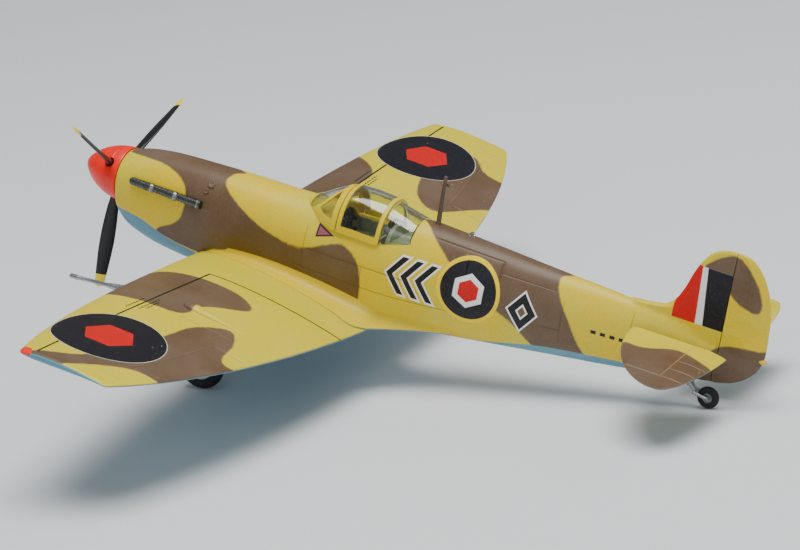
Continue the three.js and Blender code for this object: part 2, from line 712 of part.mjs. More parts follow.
// Spine: aerial mast and identification light.
const mast = { y: 66.7, foot: 9.48, top: 17.8, lugZ: 16.1, lugReach: 0.9 };
const lampAt = { y: 72.9, z: 9.28 };
const mastBody = solid(loft([[mast.foot, 0.42, 0.3], [mast.top, 0.26, 0.2]].map(([z, longer, shorter]) => (
  range(0, 2 * Math.PI, 12).slice(0, 12).map((angle) => new THREE.Vector3(
    shorter * Math.cos(angle), mast.y + longer * Math.sin(angle), z)))))
).add(solid(block(-0.15, 0.15, mast.y, mast.y + mast.lugReach, mast.lugZ, mast.lugZ + 0.5)));
add('aerial_mast', geometryOf(mastBody), material('brown'));
const lamp = lathed([[0, 0], [0.5, 0], [0.42, 0.35], [0.22, 0.52], [0, 0.56]], 16).rotateX(quarterTurn);
const lampMesh = add('identification_light', lamp, clear());
lampMesh.position.set(0, lampAt.y, lampAt.z);

// Main undercarriage: leg with its stub axle, door, hub and tyre on each side.
function doorPlate() {
  const shape = new THREE.Shape();
  shape.moveTo(-2.1, 0);
  shape.lineTo(2.3, 0);
  shape.lineTo(2.6, -8.4);
  shape.absarc(0, -12.2, 3.4, 0.7, -0.5, true);
  shape.lineTo(1.4, -14.6);
  shape.lineTo(-1.4, -14.6);
  shape.lineTo(-2.6, -12);
  shape.closePath();
  const plate = new THREE.ExtrudeGeometry(shape, { depth: 0.4, bevelEnabled: false, curveSegments: 6 });
  const basis = new THREE.Matrix4().set(0, 0, 1, 0, 1, 0, 0, 0, 0, 1, 0, 0, 0, 0, 0, 1);
  return facingOut(mergedLathe(plate.applyMatrix4(basis)));
}

for (const [name, side] of sides) {
  const foot = [mainLeg.footX, mainWheel.y, mainWheel.z];
  const splay = Math.atan2(mainLeg.footX - mainLeg.topX, mainLeg.topZ - mainWheel.z);
  const top = [mainLeg.topX, mainLeg.topY, mainLeg.topZ];
  const knee = top.map((value, i) => value + (foot[i] - value) * kneePart);
  const stub = [mainLeg.footX - 0.5, mainWheel.y, mainWheel.z];
  const leg = solid(bar(top, knee, mainLeg.cylinder, mainLeg.cylinder - 0.05))
    .add(solid(bar(knee, foot, mainLeg.piston)))
    .add(solid(bar(stub, [axle.tipX, mainWheel.y, mainWheel.z], axle.radius)));
  add(`main_leg_${name}`, mirrored(geometryOf(leg), side), material('silver', 0.35, 0.7));
  const door = doorPlate()
    .rotateY(-splay)
    .translate(mainLeg.topX - 1.6, mainLeg.topY - 0.5, mainLeg.topZ - gap);
  add(`leg_door_${name}`, mirrored(geometryOf(solid(door)), side), material('azure'));
  addWheel(`main_hub_${name}`, `main_tyre_${name}`, { ...mainWheel, x: side * mainWheel.x }, axle.bore);
}

// A wheel: a disc hub with a bore and a tyre round it, with a flat facet straight down.
function addWheel(hubName, tyreName, wheel, boreRadius) {
  const facets = 24;
  const reach = wheel.radius / Math.cos(Math.PI / facets);
  const half = wheel.width / 2;
  const rim = wheel.hub;
  const hubProfile = [
    [boreRadius, -half * 0.8], [rim * 0.5, -half * 0.8],
    [rim * 0.62, -half * 0.5], [rim - 0.05, -half * 0.75],
    [rim - 0.05, half * 0.75], [rim * 0.62, half * 0.5],
    [rim * 0.5, half * 0.8], [boreRadius, half * 0.8],
    [boreRadius, -half * 0.8],
  ];
  const tyreProfile = [
    [rim + 0.05, -half * 0.8], [rim + (reach - rim) * 0.5, -half], [reach * 0.94, -half * 0.85],
    [reach, -half * 0.45], [reach, half * 0.45], [reach * 0.94, half * 0.85],
    [rim + (reach - rim) * 0.5, half], [rim + 0.05, half * 0.8], [rim + 0.05, -half * 0.8],
  ];
  const finishes = [material('silver', 0.4, 0.6), material('tyre', 0.8)];
  [[hubName, hubProfile], [tyreName, tyreProfile]].forEach(([name, profile], i) => {
    const points = profile.map(([radius, across]) => new THREE.Vector2(radius, across));
    const ring = new THREE.LatheGeometry(points, facets, Math.PI / facets);
    const geometry = facingOut(mergedLathe(ring)).rotateZ(-quarterTurn);
    const mesh = add(name, geometry, finishes[i]);
    mesh.position.set(wheel.x, wheel.y, wheel.z);
    mesh.rotation.x = -pitch;
  });
}

// Tail wheel on its forked leg.
const fork = { x: 0.85, radius: 0.22, crownY: 115.3, crownZ: -4.1 };
let tailLeg = solid(bar([0, 112.5, -1.6], [0, fork.crownY, fork.crownZ], 0.6, 0.5))
  .add(solid(bar([-fork.x, fork.crownY, fork.crownZ], [fork.x, fork.crownY, fork.crownZ], 0.32)))
  .add(solid(bar([-fork.x - 0.1, tailWheel.y, tailWheel.z], [fork.x + 0.1, tailWheel.y, tailWheel.z],
    tailAxle.radius)));
for (const side of [port, starboard]) {
  const x = side * fork.x;
  const arm = bar([x, fork.crownY, fork.crownZ], [x, tailWheel.y, tailWheel.z], fork.radius + 0.05);
  tailLeg = tailLeg.add(solid(arm));
}
add('tail_leg', geometryOf(tailLeg.subtract(fuselageCut)), material('silver', 0.35, 0.7));
addWheel('tail_hub', 'tail_tyre', tailWheel, tailAxle.bore);

// ---------------------------------------------------------------- standing it on its wheels
aircraft.rotation.x = pitch;
aircraft.updateMatrixWorld(true);
const box = new THREE.Box3().setFromObject(aircraft, true);
aircraft.position.set(0, -(box.min.y + box.max.y) / 2, -box.min.z);

export default aircraft;
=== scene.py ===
"""The looks of a 1:72 propeller fighter model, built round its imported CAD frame.

Shapes are drawn with the aircraft level, as in the CAD source: millimetres, x to port,
y aft from the spinner's tip, z up from the propeller's axis. place() carries them into
the frame, where the aircraft stands nose-up on its wheels.
"""
import json
import math

import bmesh
import bpy
import numpy as np
from mathutils import Matrix, Vector


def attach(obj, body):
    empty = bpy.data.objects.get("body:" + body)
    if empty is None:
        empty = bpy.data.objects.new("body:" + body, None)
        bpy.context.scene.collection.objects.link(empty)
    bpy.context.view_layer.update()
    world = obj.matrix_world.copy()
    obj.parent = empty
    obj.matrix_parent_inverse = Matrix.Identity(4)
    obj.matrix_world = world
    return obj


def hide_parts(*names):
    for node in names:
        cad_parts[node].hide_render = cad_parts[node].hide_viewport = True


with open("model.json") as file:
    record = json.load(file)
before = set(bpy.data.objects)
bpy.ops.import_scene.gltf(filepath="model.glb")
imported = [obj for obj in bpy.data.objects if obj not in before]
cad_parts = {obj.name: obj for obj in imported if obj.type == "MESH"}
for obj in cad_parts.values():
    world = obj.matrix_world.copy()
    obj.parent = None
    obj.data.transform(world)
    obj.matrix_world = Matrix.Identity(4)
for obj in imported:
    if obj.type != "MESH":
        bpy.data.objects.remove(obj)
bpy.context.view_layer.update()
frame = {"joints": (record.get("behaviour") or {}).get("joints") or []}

# ---------------------------------------------------------------- the level frame
MM = 0.001
PROPELLER_Y = 6.33  # the propeller's plane, mm aft of the spinner's tip

spin = next(joint for joint in frame["joints"] if joint["name"] == "propeller_spin")
AFT = np.array(spin["axis"]) / np.linalg.norm(spin["axis"])
PORT = np.array([1.0, 0.0, 0.0])
UP = np.cross(PORT, AFT)
TIP = np.array(spin["pos_m"]) - PROPELLER_Y * MM * AFT


def place(points):
    """Level millimetres to the frame's metres."""
    p = np.asarray(points, float)
    return TIP + MM * (p[..., :1] * PORT + p[..., 1:2] * AFT + p[..., 2:] * UP)


def level(points):
    """The frame's metres to level millimetres."""
    p = (np.asarray(points, float) - TIP) / MM
    return np.stack([p @ PORT, p @ AFT, p @ UP], -1)


# ---------------------------------------------------------------- driving dimensions
# Fuselage stations: y, top, bottom, half-width, height of the widest point.
FUSELAGE = [
    [8.8, 4.75, -4.75, 4.75, 0], [12, 5.75, -5.6, 4.95, 0], [17, 6.5, -6.6, 5.1, 0.2],
    [24, 6.85, -7.8, 5.3, 0.3], [33, 7.1, -8.6, 5.7, 0.3], [42, 7.2, -9.2, 6, 0.2],
    [50, 7.9, -9.6, 6.05, 0], [58, 9, -10, 5.95, 0], [64.5, 9.4, -9.5, 5.8, 0],
    [72, 9.15, -8.65, 5.4, 0.4], [80, 8.75, -7.5, 4.8, 0.8], [90, 8.2, -6.05, 3.9, 1.3],
    [100, 7.75, -4.65, 2.95, 1.8], [110, 6.8, -3, 1.95, 2.1], [117.6, 5.4, -1.6, 1.1, 2.1],
]
NOSE_Y, TAIL_Y = 8.36, 117.6
LOWER_FULLNESS = 0.88  # exponent that fills out the lower half of a fuselage ring

# Chin cowl: y, bottom. It fades into the wing's belly behind the leading edge.
CHIN = [
    [8.4, -5.9], [8.9, -6.5], [10.2, -7.9], [12, -8.8], [16, -9.9], [21, -10.5], [26, -10.75],
    [32, -11.0], [38, -10.9], [42, -10.6],
]

WING = {
    "tip": 69.5, "ellipse": 77.96, "lead": (38.2, 12.8), "trail": (37.1, 23.4), "root_z": -9,
    "level_x": 4, "dihedral": 0.105, "incidence": 0.035, "twist_y": 36.7,
    "ratio": (0.135, 0.075), "camber": 0.02, "edge": 0.12, "root_x": 5.2,
}

# Fin and rudder, from the bottom up: z, leading y, trailing y, half-thickness.
FIN = [
    [-1.4, 117, 118.6, 0.5], [-0.5, 116, 121.2, 0.6], [0.8, 114, 123.2, 0.65],
    [2.6, 110, 124.7, 0.7], [5, 106, 125.4, 0.75], [7.8, 102, 125.4, 0.75],
    [8.3, 106.4, 125.35, 0.72], [9.4, 108.6, 125.3, 0.7], [11.8, 110.1, 125.1, 0.65],
    [15.2, 111.3, 124.2, 0.55], [17.6, 112.4, 123, 0.5], [19.2, 113.6, 121.7, 0.42],
    [20, 114.7, 120.8, 0.36], [20.4, 115.7, 120, 0.32], [20.64, 117, 118.9, 0.3],
]
FIN_TOP = 20.4
HINGE_Y = 117.9
RUDDER_REACH = 7.8  # how far the body tapers on behind the fuselage
TAILPLANE = {"lead": (115, 11.3), "trail": (116, 4.4), "z": 4.1, "ratio": (0.085, 0.05), "hinge": 114.8}
TAIL_SPAN = {"left": 21.9, "right": 23.1}
# The starboard tailplane sits slightly askew: sweep and tilt, mm per mm of span.
TAIL_SWEEP = {"left": 0, "right": 0.1}
TAIL_TILT = {"left": 0, "right": 0.05}

# Canopy: y, half-width at the sill, sill z, top z.
CANOPY = [
    [43.7, 1.6, 7, 7.3], [44.6, 2.7, 6.6, 7.75], [46, 3.7, 5.75, 8.6], [47, 4.3, 5.3, 9.25],
    [48.4, 4.9, 4.95, 10.1], [50.6, 5.45, 4.7, 11.1],
    [54, 5.55, 4.7, 11.45], [59, 5.5, 4.7, 11.05], [61.5, 5.2, 5.3, 10.5], [64.4, 4.8, 6.2, 9.75],
]
# Wing-root fillet: y, reach along the wing, height up the fuselage side.
FILLET = [
    [25.6, 0.2, 0.2], [27, 1, 0.8], [36, 2.2, 1.8], [46, 3.4, 2.8], [54, 5, 3.6], [58.8, 6.7, 3.9],
    [61.8, 4.7, 3.6], [64.7, 2.9, 3], [68.4, 1.4, 2], [74, 0.2, 0.8],
]
FILLET_CLIMB = 0.2  # rise of the fillet's edge behind the wing, mm per mm
SPINNER = {"length": 8.2, "radius": 4.8}
BLADE_ANGLES = [math.radians(a) for a in (-66.5, 53.5, 173.5)]
# Blade: radius, half-chord, half-thickness, twist from the plane of rotation.
BLADE = [
    [2.3, 0.7, 0.7, 1.2], [4.6, 0.75, 0.6, 1.2], [6.6, 0.98, 0.42, 1.17], [9.5, 1.18, 0.33, 1.12],
    [13, 1.26, 0.27, 1.06], [17, 1.08, 0.2, 1], [19.8, 0.86, 0.16, 0.95], [21.1, 0.66, 0.12, 0.93],
]
MAIN_WHEEL = {"x": 12.1, "y": 33.3, "z": -23.3, "radius": 4.2, "width": 1.9, "rim": 2.5}
TAIL_WHEEL = {"x": 0, "y": 117.6, "z": -4.5, "radius": 1.8, "width": 1.1, "rim": 0.8}

SIDES = {"left": 1, "right": -1}

# The camera looks at the aircraft's middle from behind the port wing: aim in level mm, distance
# in mm, azimuth from aft towards port and elevation over the floor in degrees, lens in mm.
VIEW = {
    "aim": (0, 61.3, -1.2), "distance": 528, "azimuth": 61.43, "elevation": 16.39, "roll": 4.5,
    "lens": 144,
}


# ---------------------------------------------------------------- curves
def along(rows, at):
    """A smooth curve through rows of numbers: each column is followed by a cubic of the first."""
    table = np.asarray(rows, float)
    x, v = table[:, 0], table[:, 1:]
    at = np.clip(np.asarray(at, float), x[0], x[-1])
    slope = np.empty_like(v)
    slope[1:-1] = (v[2:] - v[:-2]) / (x[2:] - x[:-2])[:, None]
    slope[0] = (v[1] - v[0]) / (x[1] - x[0])
    slope[-1] = (v[-1] - v[-2]) / (x[-1] - x[-2])
    i = np.clip(np.searchsorted(x, at, side="right") - 1, 0, len(x) - 2)
    step = (x[i + 1] - x[i])[..., None]
    t = (at[..., None] - x[i][..., None]) / step
    ends = (2 * t**3 - 3 * t**2 + 1) * v[i] + (3 * t**2 - 2 * t**3) * v[i + 1]
    bend = (t**3 - 2 * t**2 + t) * slope[i] + (t**3 - t**2) * slope[i + 1]
    return np.moveaxis(ends + step * bend, -1, 0)


def power(value, exponent):
    return np.sign(value) * np.abs(value) ** exponent


def lined(low, high, step, lines=(), reach=0.09):
    """Even steps from low to high, with three close ones at each engraved line."""
    even = np.linspace(low, high, round((high - low) / step) + 1)
    inner = even[1:-1]
    for line in lines:
        inner = inner[np.abs(inner - line) > 2 * reach]
    close = [line + d for line in lines for d in (-reach, 0, reach)]
    return np.sort(np.concatenate([even[[0, -1]], inner, close]))


def on_line(values, line):
    return np.abs(values - line) < 1e-6


# ---------------------------------------------------------------- meshes
def grid_faces(rows, columns, wrap=False):
    across = np.arange(columns if wrap else columns - 1)[None, :]
    a = np.arange(rows - 1)[:, None] * columns + across
    b = np.arange(rows - 1)[:, None] * columns + (across + 1) % columns
    return np.stack([a, b, b + columns, a + columns], -1).reshape(-1, 4).tolist()


def loft(rings):
    """A closed solid through rings of equal length, capped at both ends."""
    rings = np.asarray(rings, float)
    rows, columns = rings.shape[:2]
    faces = grid_faces(rows, columns, wrap=True)
    faces.append(list(range(columns))[::-1])
    faces.append(list(range((rows - 1) * columns, rows * columns)))
    return rings.reshape(-1, 3), faces


def joined(*shapes):
    points, faces, offset = [], [], 0
    for shape_points, shape_faces in shapes:
        points.append(np.asarray(shape_points, float))
        faces += [[i + offset for i in face] for face in shape_faces]
        offset += len(shape_points)
    return np.concatenate(points), faces


def slice_at(y, x, z):
    """Points across the aircraft at one station."""
    return np.stack([x, np.full_like(x, y), z], -1)


def both_sides(right):
    """One side's points, then the same mirrored back again, for a closed ring."""
    return np.concatenate([right, (right * [-1, 1, 1])[::-1]])


def mirrored(shape, side):
    points, faces = shape
    return np.asarray(points, float) * [side, 1, 1], faces


def circle(centre, axis, radius, sides):
    """Points of a circle that faces along an axis."""
    axis = axis / np.linalg.norm(axis)
    helper = np.array([1.0, 0, 0]) if abs(axis[0]) < 0.9 else np.array([0, 0, 1.0])
    u = np.cross(axis, helper)
    u /= np.linalg.norm(u)
    v = np.cross(axis, u)
    turn = np.linspace(0, 2 * math.pi, sides, endpoint=False)[:, None]
    return centre + radius * (np.cos(turn) * u + np.sin(turn) * v)


def tube(path, radii, sides=32):
    """A round bar along a path, with its own radius at each point."""
    path = np.asarray(path, float)
    tangents = np.gradient(path, axis=0)
    radii = np.broadcast_to(radii, len(path))
    return loft([circle(*row, sides) for row in zip(path, tangents, radii)])


def bar(start, end, profile, sides=32):
    """A turned bar between two points. profile rows: share of the length, radius."""
    start, end = np.asarray(start, float), np.asarray(end, float)
    reach = end - start
    return loft([circle(start + share * reach, reach, radius, sides)
                 for share, radius in np.array(profile, float)])


def box(x0, x1, y0, y1, z0, z1):
    corners = [(x, y, z) for x in (x0, x1) for y in (y0, y1) for z in (z0, z1)]
    faces = [(0, 1, 3, 2), (4, 6, 7, 5), (0, 4, 5, 1), (2, 3, 7, 6), (0, 2, 6, 4), (1, 5, 7, 3)]
    return np.array(corners, float), faces


def turned(profile, centre, axis="x", segments=96):
    """A closed profile of (radius, place along the axis) rows, turned right round."""
    radius, place_along = np.array(profile, float).T
    turn = np.linspace(0, 2 * math.pi, segments, endpoint=False)[:, None]
    flat = [np.cos(turn) * radius, np.sin(turn) * radius]
    through = np.broadcast_to(place_along, flat[0].shape)
    order = {"x": [through, flat[0], flat[1]], "y": [flat[0], through, flat[1]], "z": [*flat, through]}
    points = np.stack(order[axis], -1) + np.asarray(centre, float)
    columns = len(radius)
    wrapped = np.concatenate([points, points[:1]])
    faces = []
    for row in range(segments):
        for i in range(columns):
            a, b = row * columns + i, row * columns + (i + 1) % columns
            c = ((row + 1) % segments) * columns
            faces.append([a, b, c + (i + 1) % columns, c + i])
    return wrapped[:-1].reshape(-1, 3), faces


def mesh_of(name, shape):
    """A clean mesh in level millimetres: welded, with its faces pointing out."""
    points, faces = shape
    mesh = bpy.data.meshes.new(name)
    mesh.from_pydata(np.asarray(points, float).tolist(), [], [list(map(int, f)) for f in faces])
    bm = bmesh.new()
    bm.from_mesh(mesh)
    bmesh.ops.remove_doubles(bm, verts=bm.verts, dist=1e-4)
    bmesh.ops.dissolve_degenerate(bm, edges=bm.edges, dist=1e-5)
    bmesh.ops.recalc_face_normals(bm, faces=bm.faces)
    bm.to_mesh(mesh)
    bm.free()
    return mesh


def carved(mesh, cutters, operation="DIFFERENCE"):
    """The mesh with closed cutter shapes taken away, or added."""
    holder = bpy.data.objects.new("carving", mesh)
    bpy.context.scene.collection.objects.link(holder)
    tools = []
    for i, cutter in enumerate(cutters):
        tool = bpy.data.objects.new(f"cutter{i}", mesh_of("cutter", cutter))
        bpy.context.scene.collection.objects.link(tool)
        step = holder.modifiers.new(f"cut{i}", "BOOLEAN")
        step.operation = operation
        step.solver = "EXACT"
        step.object = tool
        tools.append(tool)
    evaluated = holder.evaluated_get(bpy.context.evaluated_depsgraph_get())
    result = bpy.data.meshes.new_from_object(evaluated)
    for thing in [holder, *tools]:
        bpy.data.objects.remove(thing)
    return result


def reflected(mesh):
    """The same mesh on the other side of the aircraft."""
    other = mesh.copy()
    other.transform(Matrix.Diagonal((-1, 1, 1, 1)))
    other.flip_normals()
    return other


def corners_of(mesh):
    points = np.zeros(len(mesh.vertices) * 3)
    mesh.vertices.foreach_get("co", points)
    return points.reshape(-1, 3)


def piece(name, shape, material, body="airframe", replaces=(), fields=None, crease=40, bevel=0):
    """One visible piece. fields are named functions of level points that its paint reads."""
    mesh = shape if isinstance(shape, bpy.types.Mesh) else mesh_of(name, shape)
    mesh.name = name
    points = corners_of(mesh)
    store = mesh.attributes.new("level", "FLOAT_VECTOR", "POINT")
    store.data.foreach_set("vector", points.astype(np.float32).ravel())
    for field, worth in (fields or {}).items():
        values = worth(points) if callable(worth) else worth
        kept = mesh.attributes.new(field, "FLOAT", "POINT")
        kept.data.foreach_set("value", np.asarray(values, np.float32))
    mesh.vertices.foreach_set("co", place(points).astype(np.float32).ravel())
    mesh.materials.clear()
    mesh.materials.append(material)
    mesh.polygons.foreach_set("use_smooth", np.ones(len(mesh.polygons), bool))
    mesh.set_sharp_from_angle(angle=math.radians(crease))
    mesh.update()
    thing = bpy.data.objects.new(name, mesh)
    bpy.context.scene.collection.objects.link(thing)
    if bevel:
        rounding = thing.modifiers.new("rounded edges", "BEVEL")
        rounding.width = bevel * MM
        rounding.segments = 2
        rounding.limit_method = "ANGLE"
        rounding.angle_limit = math.radians(crease)
        rounding.harden_normals = False
    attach(thing, body)
    if replaces:
        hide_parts(*replaces)
    return thing


# ---------------------------------------------------------------- camouflage
DEGREE = 0.115  # mm of fuselage skin for each degree round a ring


def smooth_outline(points, steps=8):
    """A closed smooth curve through a few points."""
    p = np.asarray(points, float)
    before, after, beyond = np.roll(p, 1, 0), np.roll(p, -1, 0), np.roll(p, -2, 0)
    curve = []
    for t in np.arange(steps) / steps:
        curve.append(0.5 * (2 * p + (after - before) * t + (2 * before - 5 * p + 4 * after - beyond) * t**2
                            + (3 * p - before - 3 * after + beyond) * t**3))
    return np.stack(curve, 1).reshape(-1, 2)


def inside_by(chart, outline):
    """How far each chart point lies inside an outline, in mm, negative outside it."""
    a = smooth_outline(outline)
    b = np.roll(a, -1, 0)
    span = b - a
    result = np.empty(len(chart))
    for start in range(0, len(chart), 4000):
        p = chart[start:start + 4000, None, :]
        t = np.clip(((p - a) * span).sum(-1) / (span**2).sum(-1), 0, 1)
        distance = np.sqrt(((p - a - t[..., None] * span) ** 2).sum(-1)).min(1)
        crosses = (a[:, 1] > p[..., 1]) != (b[:, 1] > p[..., 1])
        level_x = a[:, 0] + (p[..., 1] - a[:, 1]) * span[:, 0] / np.where(span[:, 1] == 0, 1e-9, span[:, 1])
        odd = (crosses & (p[..., 0] < level_x)).sum(1) % 2 == 1
        result[start:start + 4000] = np.where(odd, distance, -distance)
    return result


def patched(chart, outlines):
    return np.max([inside_by(chart, outline) for outline in outlines], axis=0)


# Brown patches on the wing's upper side, (x, y); on the fuselage, (y, degrees from the spine);
# on the fin and the tail, (y, z); and on the tailplanes, (x, y).
WING_PATCHES = [
    [(36, 25), (24, 25), (20, 31), (20, 42), (24, 47), (30, 42), (36, 41), (37, 35)],
    [(47, 44), (39, 45), (34, 49), (38, 52), (45, 54), (46, 60), (61, 60), (61, 48), (71, 38),
     (69, 34), (64, 40), (56, 42)],
    [(-34, 24), (-47, 26), (-46, 30), (-40, 35), (-30, 34), (-22, 33), (-20, 25)],
    [(-46, 42), (-39, 45), (-37, 50), (-46, 56), (-48, 62), (-57, 60), (-57, 50), (-61, 45), (-56, 40)],
]
BODY_PATCHES = [
    [(6, -25), (10, 20), (18, 40), (22, 65), (22, 105), (18, 140), (18, 165), (26, 160), (30, 130),
     (44, 125), (55, 133), (57, 110), (56, 85), (53, 70), (50, 75), (45, 90), (39, 85), (33, 65),
     (29, 40), (29, 15), (31, -25)],
    [(64, -25), (66, 15), (70, 45), (76, 78), (84, 105), (88, 140), (91, 175), (99, 175), (96, 125),
     (94, 95), (91, 55), (90, 20), (91, -25)],
]
SIDE_PATCHES = [
    [(113, 17), (117, 20), (120, 19), (123, 15), (123, 12), (119, 13), (116, 16)],
    [(114, 0), (117, 4), (120, 5.5), (125, 6), (129, 7), (129, -4), (112, -5)],
]
TAIL_PATCHES = [
    [(10, 100), (10, 108), (7, 113), (8, 117), (12, 123), (28, 122), (28, 100)],
    [(-1, 100), (-12, 106), (-7, 113), (-7, 119), (-6, 123), (1, 123)],
]
# The edge of the blue-grey underside along the fuselage: y, z.
UNDERSIDE = [
    [9, -4.4], [14, -5], [20, -7], [40, -9.6], [74, -8.2], [80, -6.5], [90, -4], [110, -2.5], [116, -4.5],
]


def body_measures(y):
    """top, bottom, half-width and widest z of the body, which tapers on into the rudder."""
    top, bottom, half_width, widest = along(FUSELAGE, y)
    past = np.clip((y - TAIL_Y) / RUDDER_REACH, 0, 1)
    return top, bottom, half_width * (1 - 0.85 * past**1.3), widest


def ring_angle(y, z):
    """Degrees round a fuselage ring, from 0 on the spine to 180 under the belly."""
    top, bottom, _, widest = body_measures(y)
    up = np.clip((z - widest) / (top - widest), 0, 1)
    down = np.clip((widest - z) / (widest - bottom), 0, 1) ** (1 / LOWER_FULLNESS)
    return np.degrees(np.where(z >= widest, np.arccos(up), math.pi - np.arccos(down)))


def body_half_width(y, z):
    """How far the body's side stands from the centre line at a height; negative above or below it."""
    top, bottom, half_width, widest = body_measures(y)
    up = (z - widest) / (top - widest)
    down = np.clip((widest - z) / (widest - bottom), 0, 1) ** (1 / LOWER_FULLNESS)
    upper = half_width * np.sqrt(np.clip(1 - up**2, 0, 1))
    lower = half_width * np.clip(1 - down**2, 0, 1) ** (LOWER_FULLNESS / 2)
    return np.where(z >= widest, upper, lower) - np.clip(z - top, 0, None) - np.clip(bottom - z, 0, None)


def wing_camo(p):
    return patched(p[:, :2], WING_PATCHES)


def tailplane_camo(p):
    return patched(p[:, :2], TAIL_PATCHES)


def body_camo(p):
    turned_chart = np.stack([p[:, 1], ring_angle(p[:, 1], p[:, 2]) * DEGREE], -1)
    outlines = [[(y, degrees * DEGREE) for y, degrees in outline] for outline in BODY_PATCHES]
    return np.maximum(patched(turned_chart, outlines), side_camo(p))


def side_camo(p):
    return patched(p[:, 1:], SIDE_PATCHES)


def body_underside(p):
    return along(UNDERSIDE, p[:, 1])[0] - p[:, 2]


def nowhere(p):
    return np.full(len(p), -5.0)


# ---------------------------------------------------------------- materials
def tint(red, green, blue):
    """A display colour, 0 to 255, as the shader's linear one."""
    linear = [c / 255 / 12.92 if c < 10 else ((c / 255 + 0.055) / 1.055) ** 2.4 for c in (red, green, blue)]
    return (*linear, 1.0)


SAND = tint(230, 196, 0)
BROWN = tint(98, 74, 50)
AZURE = tint(92, 146, 166)
NAVY = tint(10, 10, 24)
RED = tint(206, 0, 0)
WHITE = tint(238, 240, 240)
YELLOW = tint(250, 214, 0)
BLACK = tint(9, 9, 11)
DUST = tint(246, 238, 200)


class Shader:
    """A material whose node graph is written as short expressions."""

    def __init__(self, name, **sockets):
        self.material = bpy.data.materials.new(name)
        self.material.use_nodes = True
        self.tree = self.material.node_tree
        self.surface = self.tree.nodes["Principled BSDF"]
        for socket, value in sockets.items():
            self.surface.inputs[socket.replace("_", " ")].default_value = value

    def node(self, kind, *values, **settings):
        made = self.tree.nodes.new("ShaderNode" + kind)
        for key, value in settings.items():
            setattr(made, key, value)
        for socket, value in zip(made.inputs, values):
            self.feed(socket, value)
        return made

    def feed(self, socket, value):
        if isinstance(value, bpy.types.NodeSocket):
            self.tree.links.new(value, socket)
        elif value is not None:
            socket.default_value = value

    def to(self, socket, value):
        self.feed(self.surface.inputs[socket], value)
        return self

    def math(self, operation, *values):
        return self.node("Math", *values, operation=operation).outputs[0]

    def mix(self, factor, a, b):
        made = self.node("Mix", data_type="RGBA")
        for index, value in ((0, factor), (6, a), (7, b)):
            self.feed(made.inputs[index], value)
        return made.outputs[2]

    def ramp(self, value, low, high, out_low=0.0, out_high=1.0):
        made = self.node("MapRange", value, low, high, out_low, out_high, interpolation_type="SMOOTHSTEP")
        return made.outputs[0]

    def attribute(self, name, vector=False):
        made = self.node("Attribute", attribute_name=name)
        return made.outputs["Vector" if vector else "Fac"]

    def axes(self, where):
        return self.node("SeparateXYZ", where).outputs[:3]

    def noise(self, where, scale, detail=3.0, roughness=0.55):
        made = self.node("TexNoise")
        sockets = {"Vector": where, "Scale": scale, "Detail": detail, "Roughness": roughness}
        for socket, value in sockets.items():
            self.feed(made.inputs[socket], value)
        return made.outputs[0]

    def shade(self, colour, pattern, low, high):
        """colour made a little darker and paler by a pattern."""
        made = self.node("VectorMath", operation="SCALE")
        self.feed(made.inputs[0], colour)
        self.feed(made.inputs["Scale"], self.ramp(pattern, 0.25, 0.75, low, high))
        return made.outputs[0]

    def bump(self, height, depth):
        made = self.node("Bump")
        for socket, value in (("Height", height), ("Distance", depth), ("Strength", 1.0)):
            self.feed(made.inputs[socket], value)
        self.feed(self.surface.inputs["Normal"], made.outputs[0])

    # Marks: each gives its distance from an edge in mm, negative inside.
    def circle(self, u, v, centre, radius):
        du = self.math("SUBTRACT", u, float(centre[0]))
        dv = self.math("SUBTRACT", v, float(centre[1]))
        square = self.math("ADD", self.math("MULTIPLY", du, du), self.math("MULTIPLY", dv, dv))
        return self.math("SUBTRACT", self.math("SQRT", square), float(radius))

    def slab(self, value, low, high):
        off = self.math("ABSOLUTE", self.math("SUBTRACT", value, (low + high) / 2))
        return self.math("SUBTRACT", off, (high - low) / 2)

    def rectangle(self, u, v, u0, u1, v0, v1):
        return self.math("MAXIMUM", self.slab(u, u0, u1), self.slab(v, v0, v1))

    def hexagon(self, u, v, centre, radius):
        du = self.math("ABSOLUTE", self.math("SUBTRACT", u, float(centre[0])))
        dv = self.math("ABSOLUTE", self.math("SUBTRACT", v, float(centre[1])))
        slanted = self.math("ADD", self.math("MULTIPLY", du, 0.5), self.math("MULTIPLY", dv, 0.866))
        return self.math("SUBTRACT", self.math("MAXIMUM", du, slanted), float(radius))

    def lay(self, colour, paint, distance, grow=0.0, soft=0.04):
        """colour covered by paint wherever distance is below grow."""
        return self.mix(self.ramp(distance, grow - soft, grow + soft, 1.0, 0.0), colour, paint)


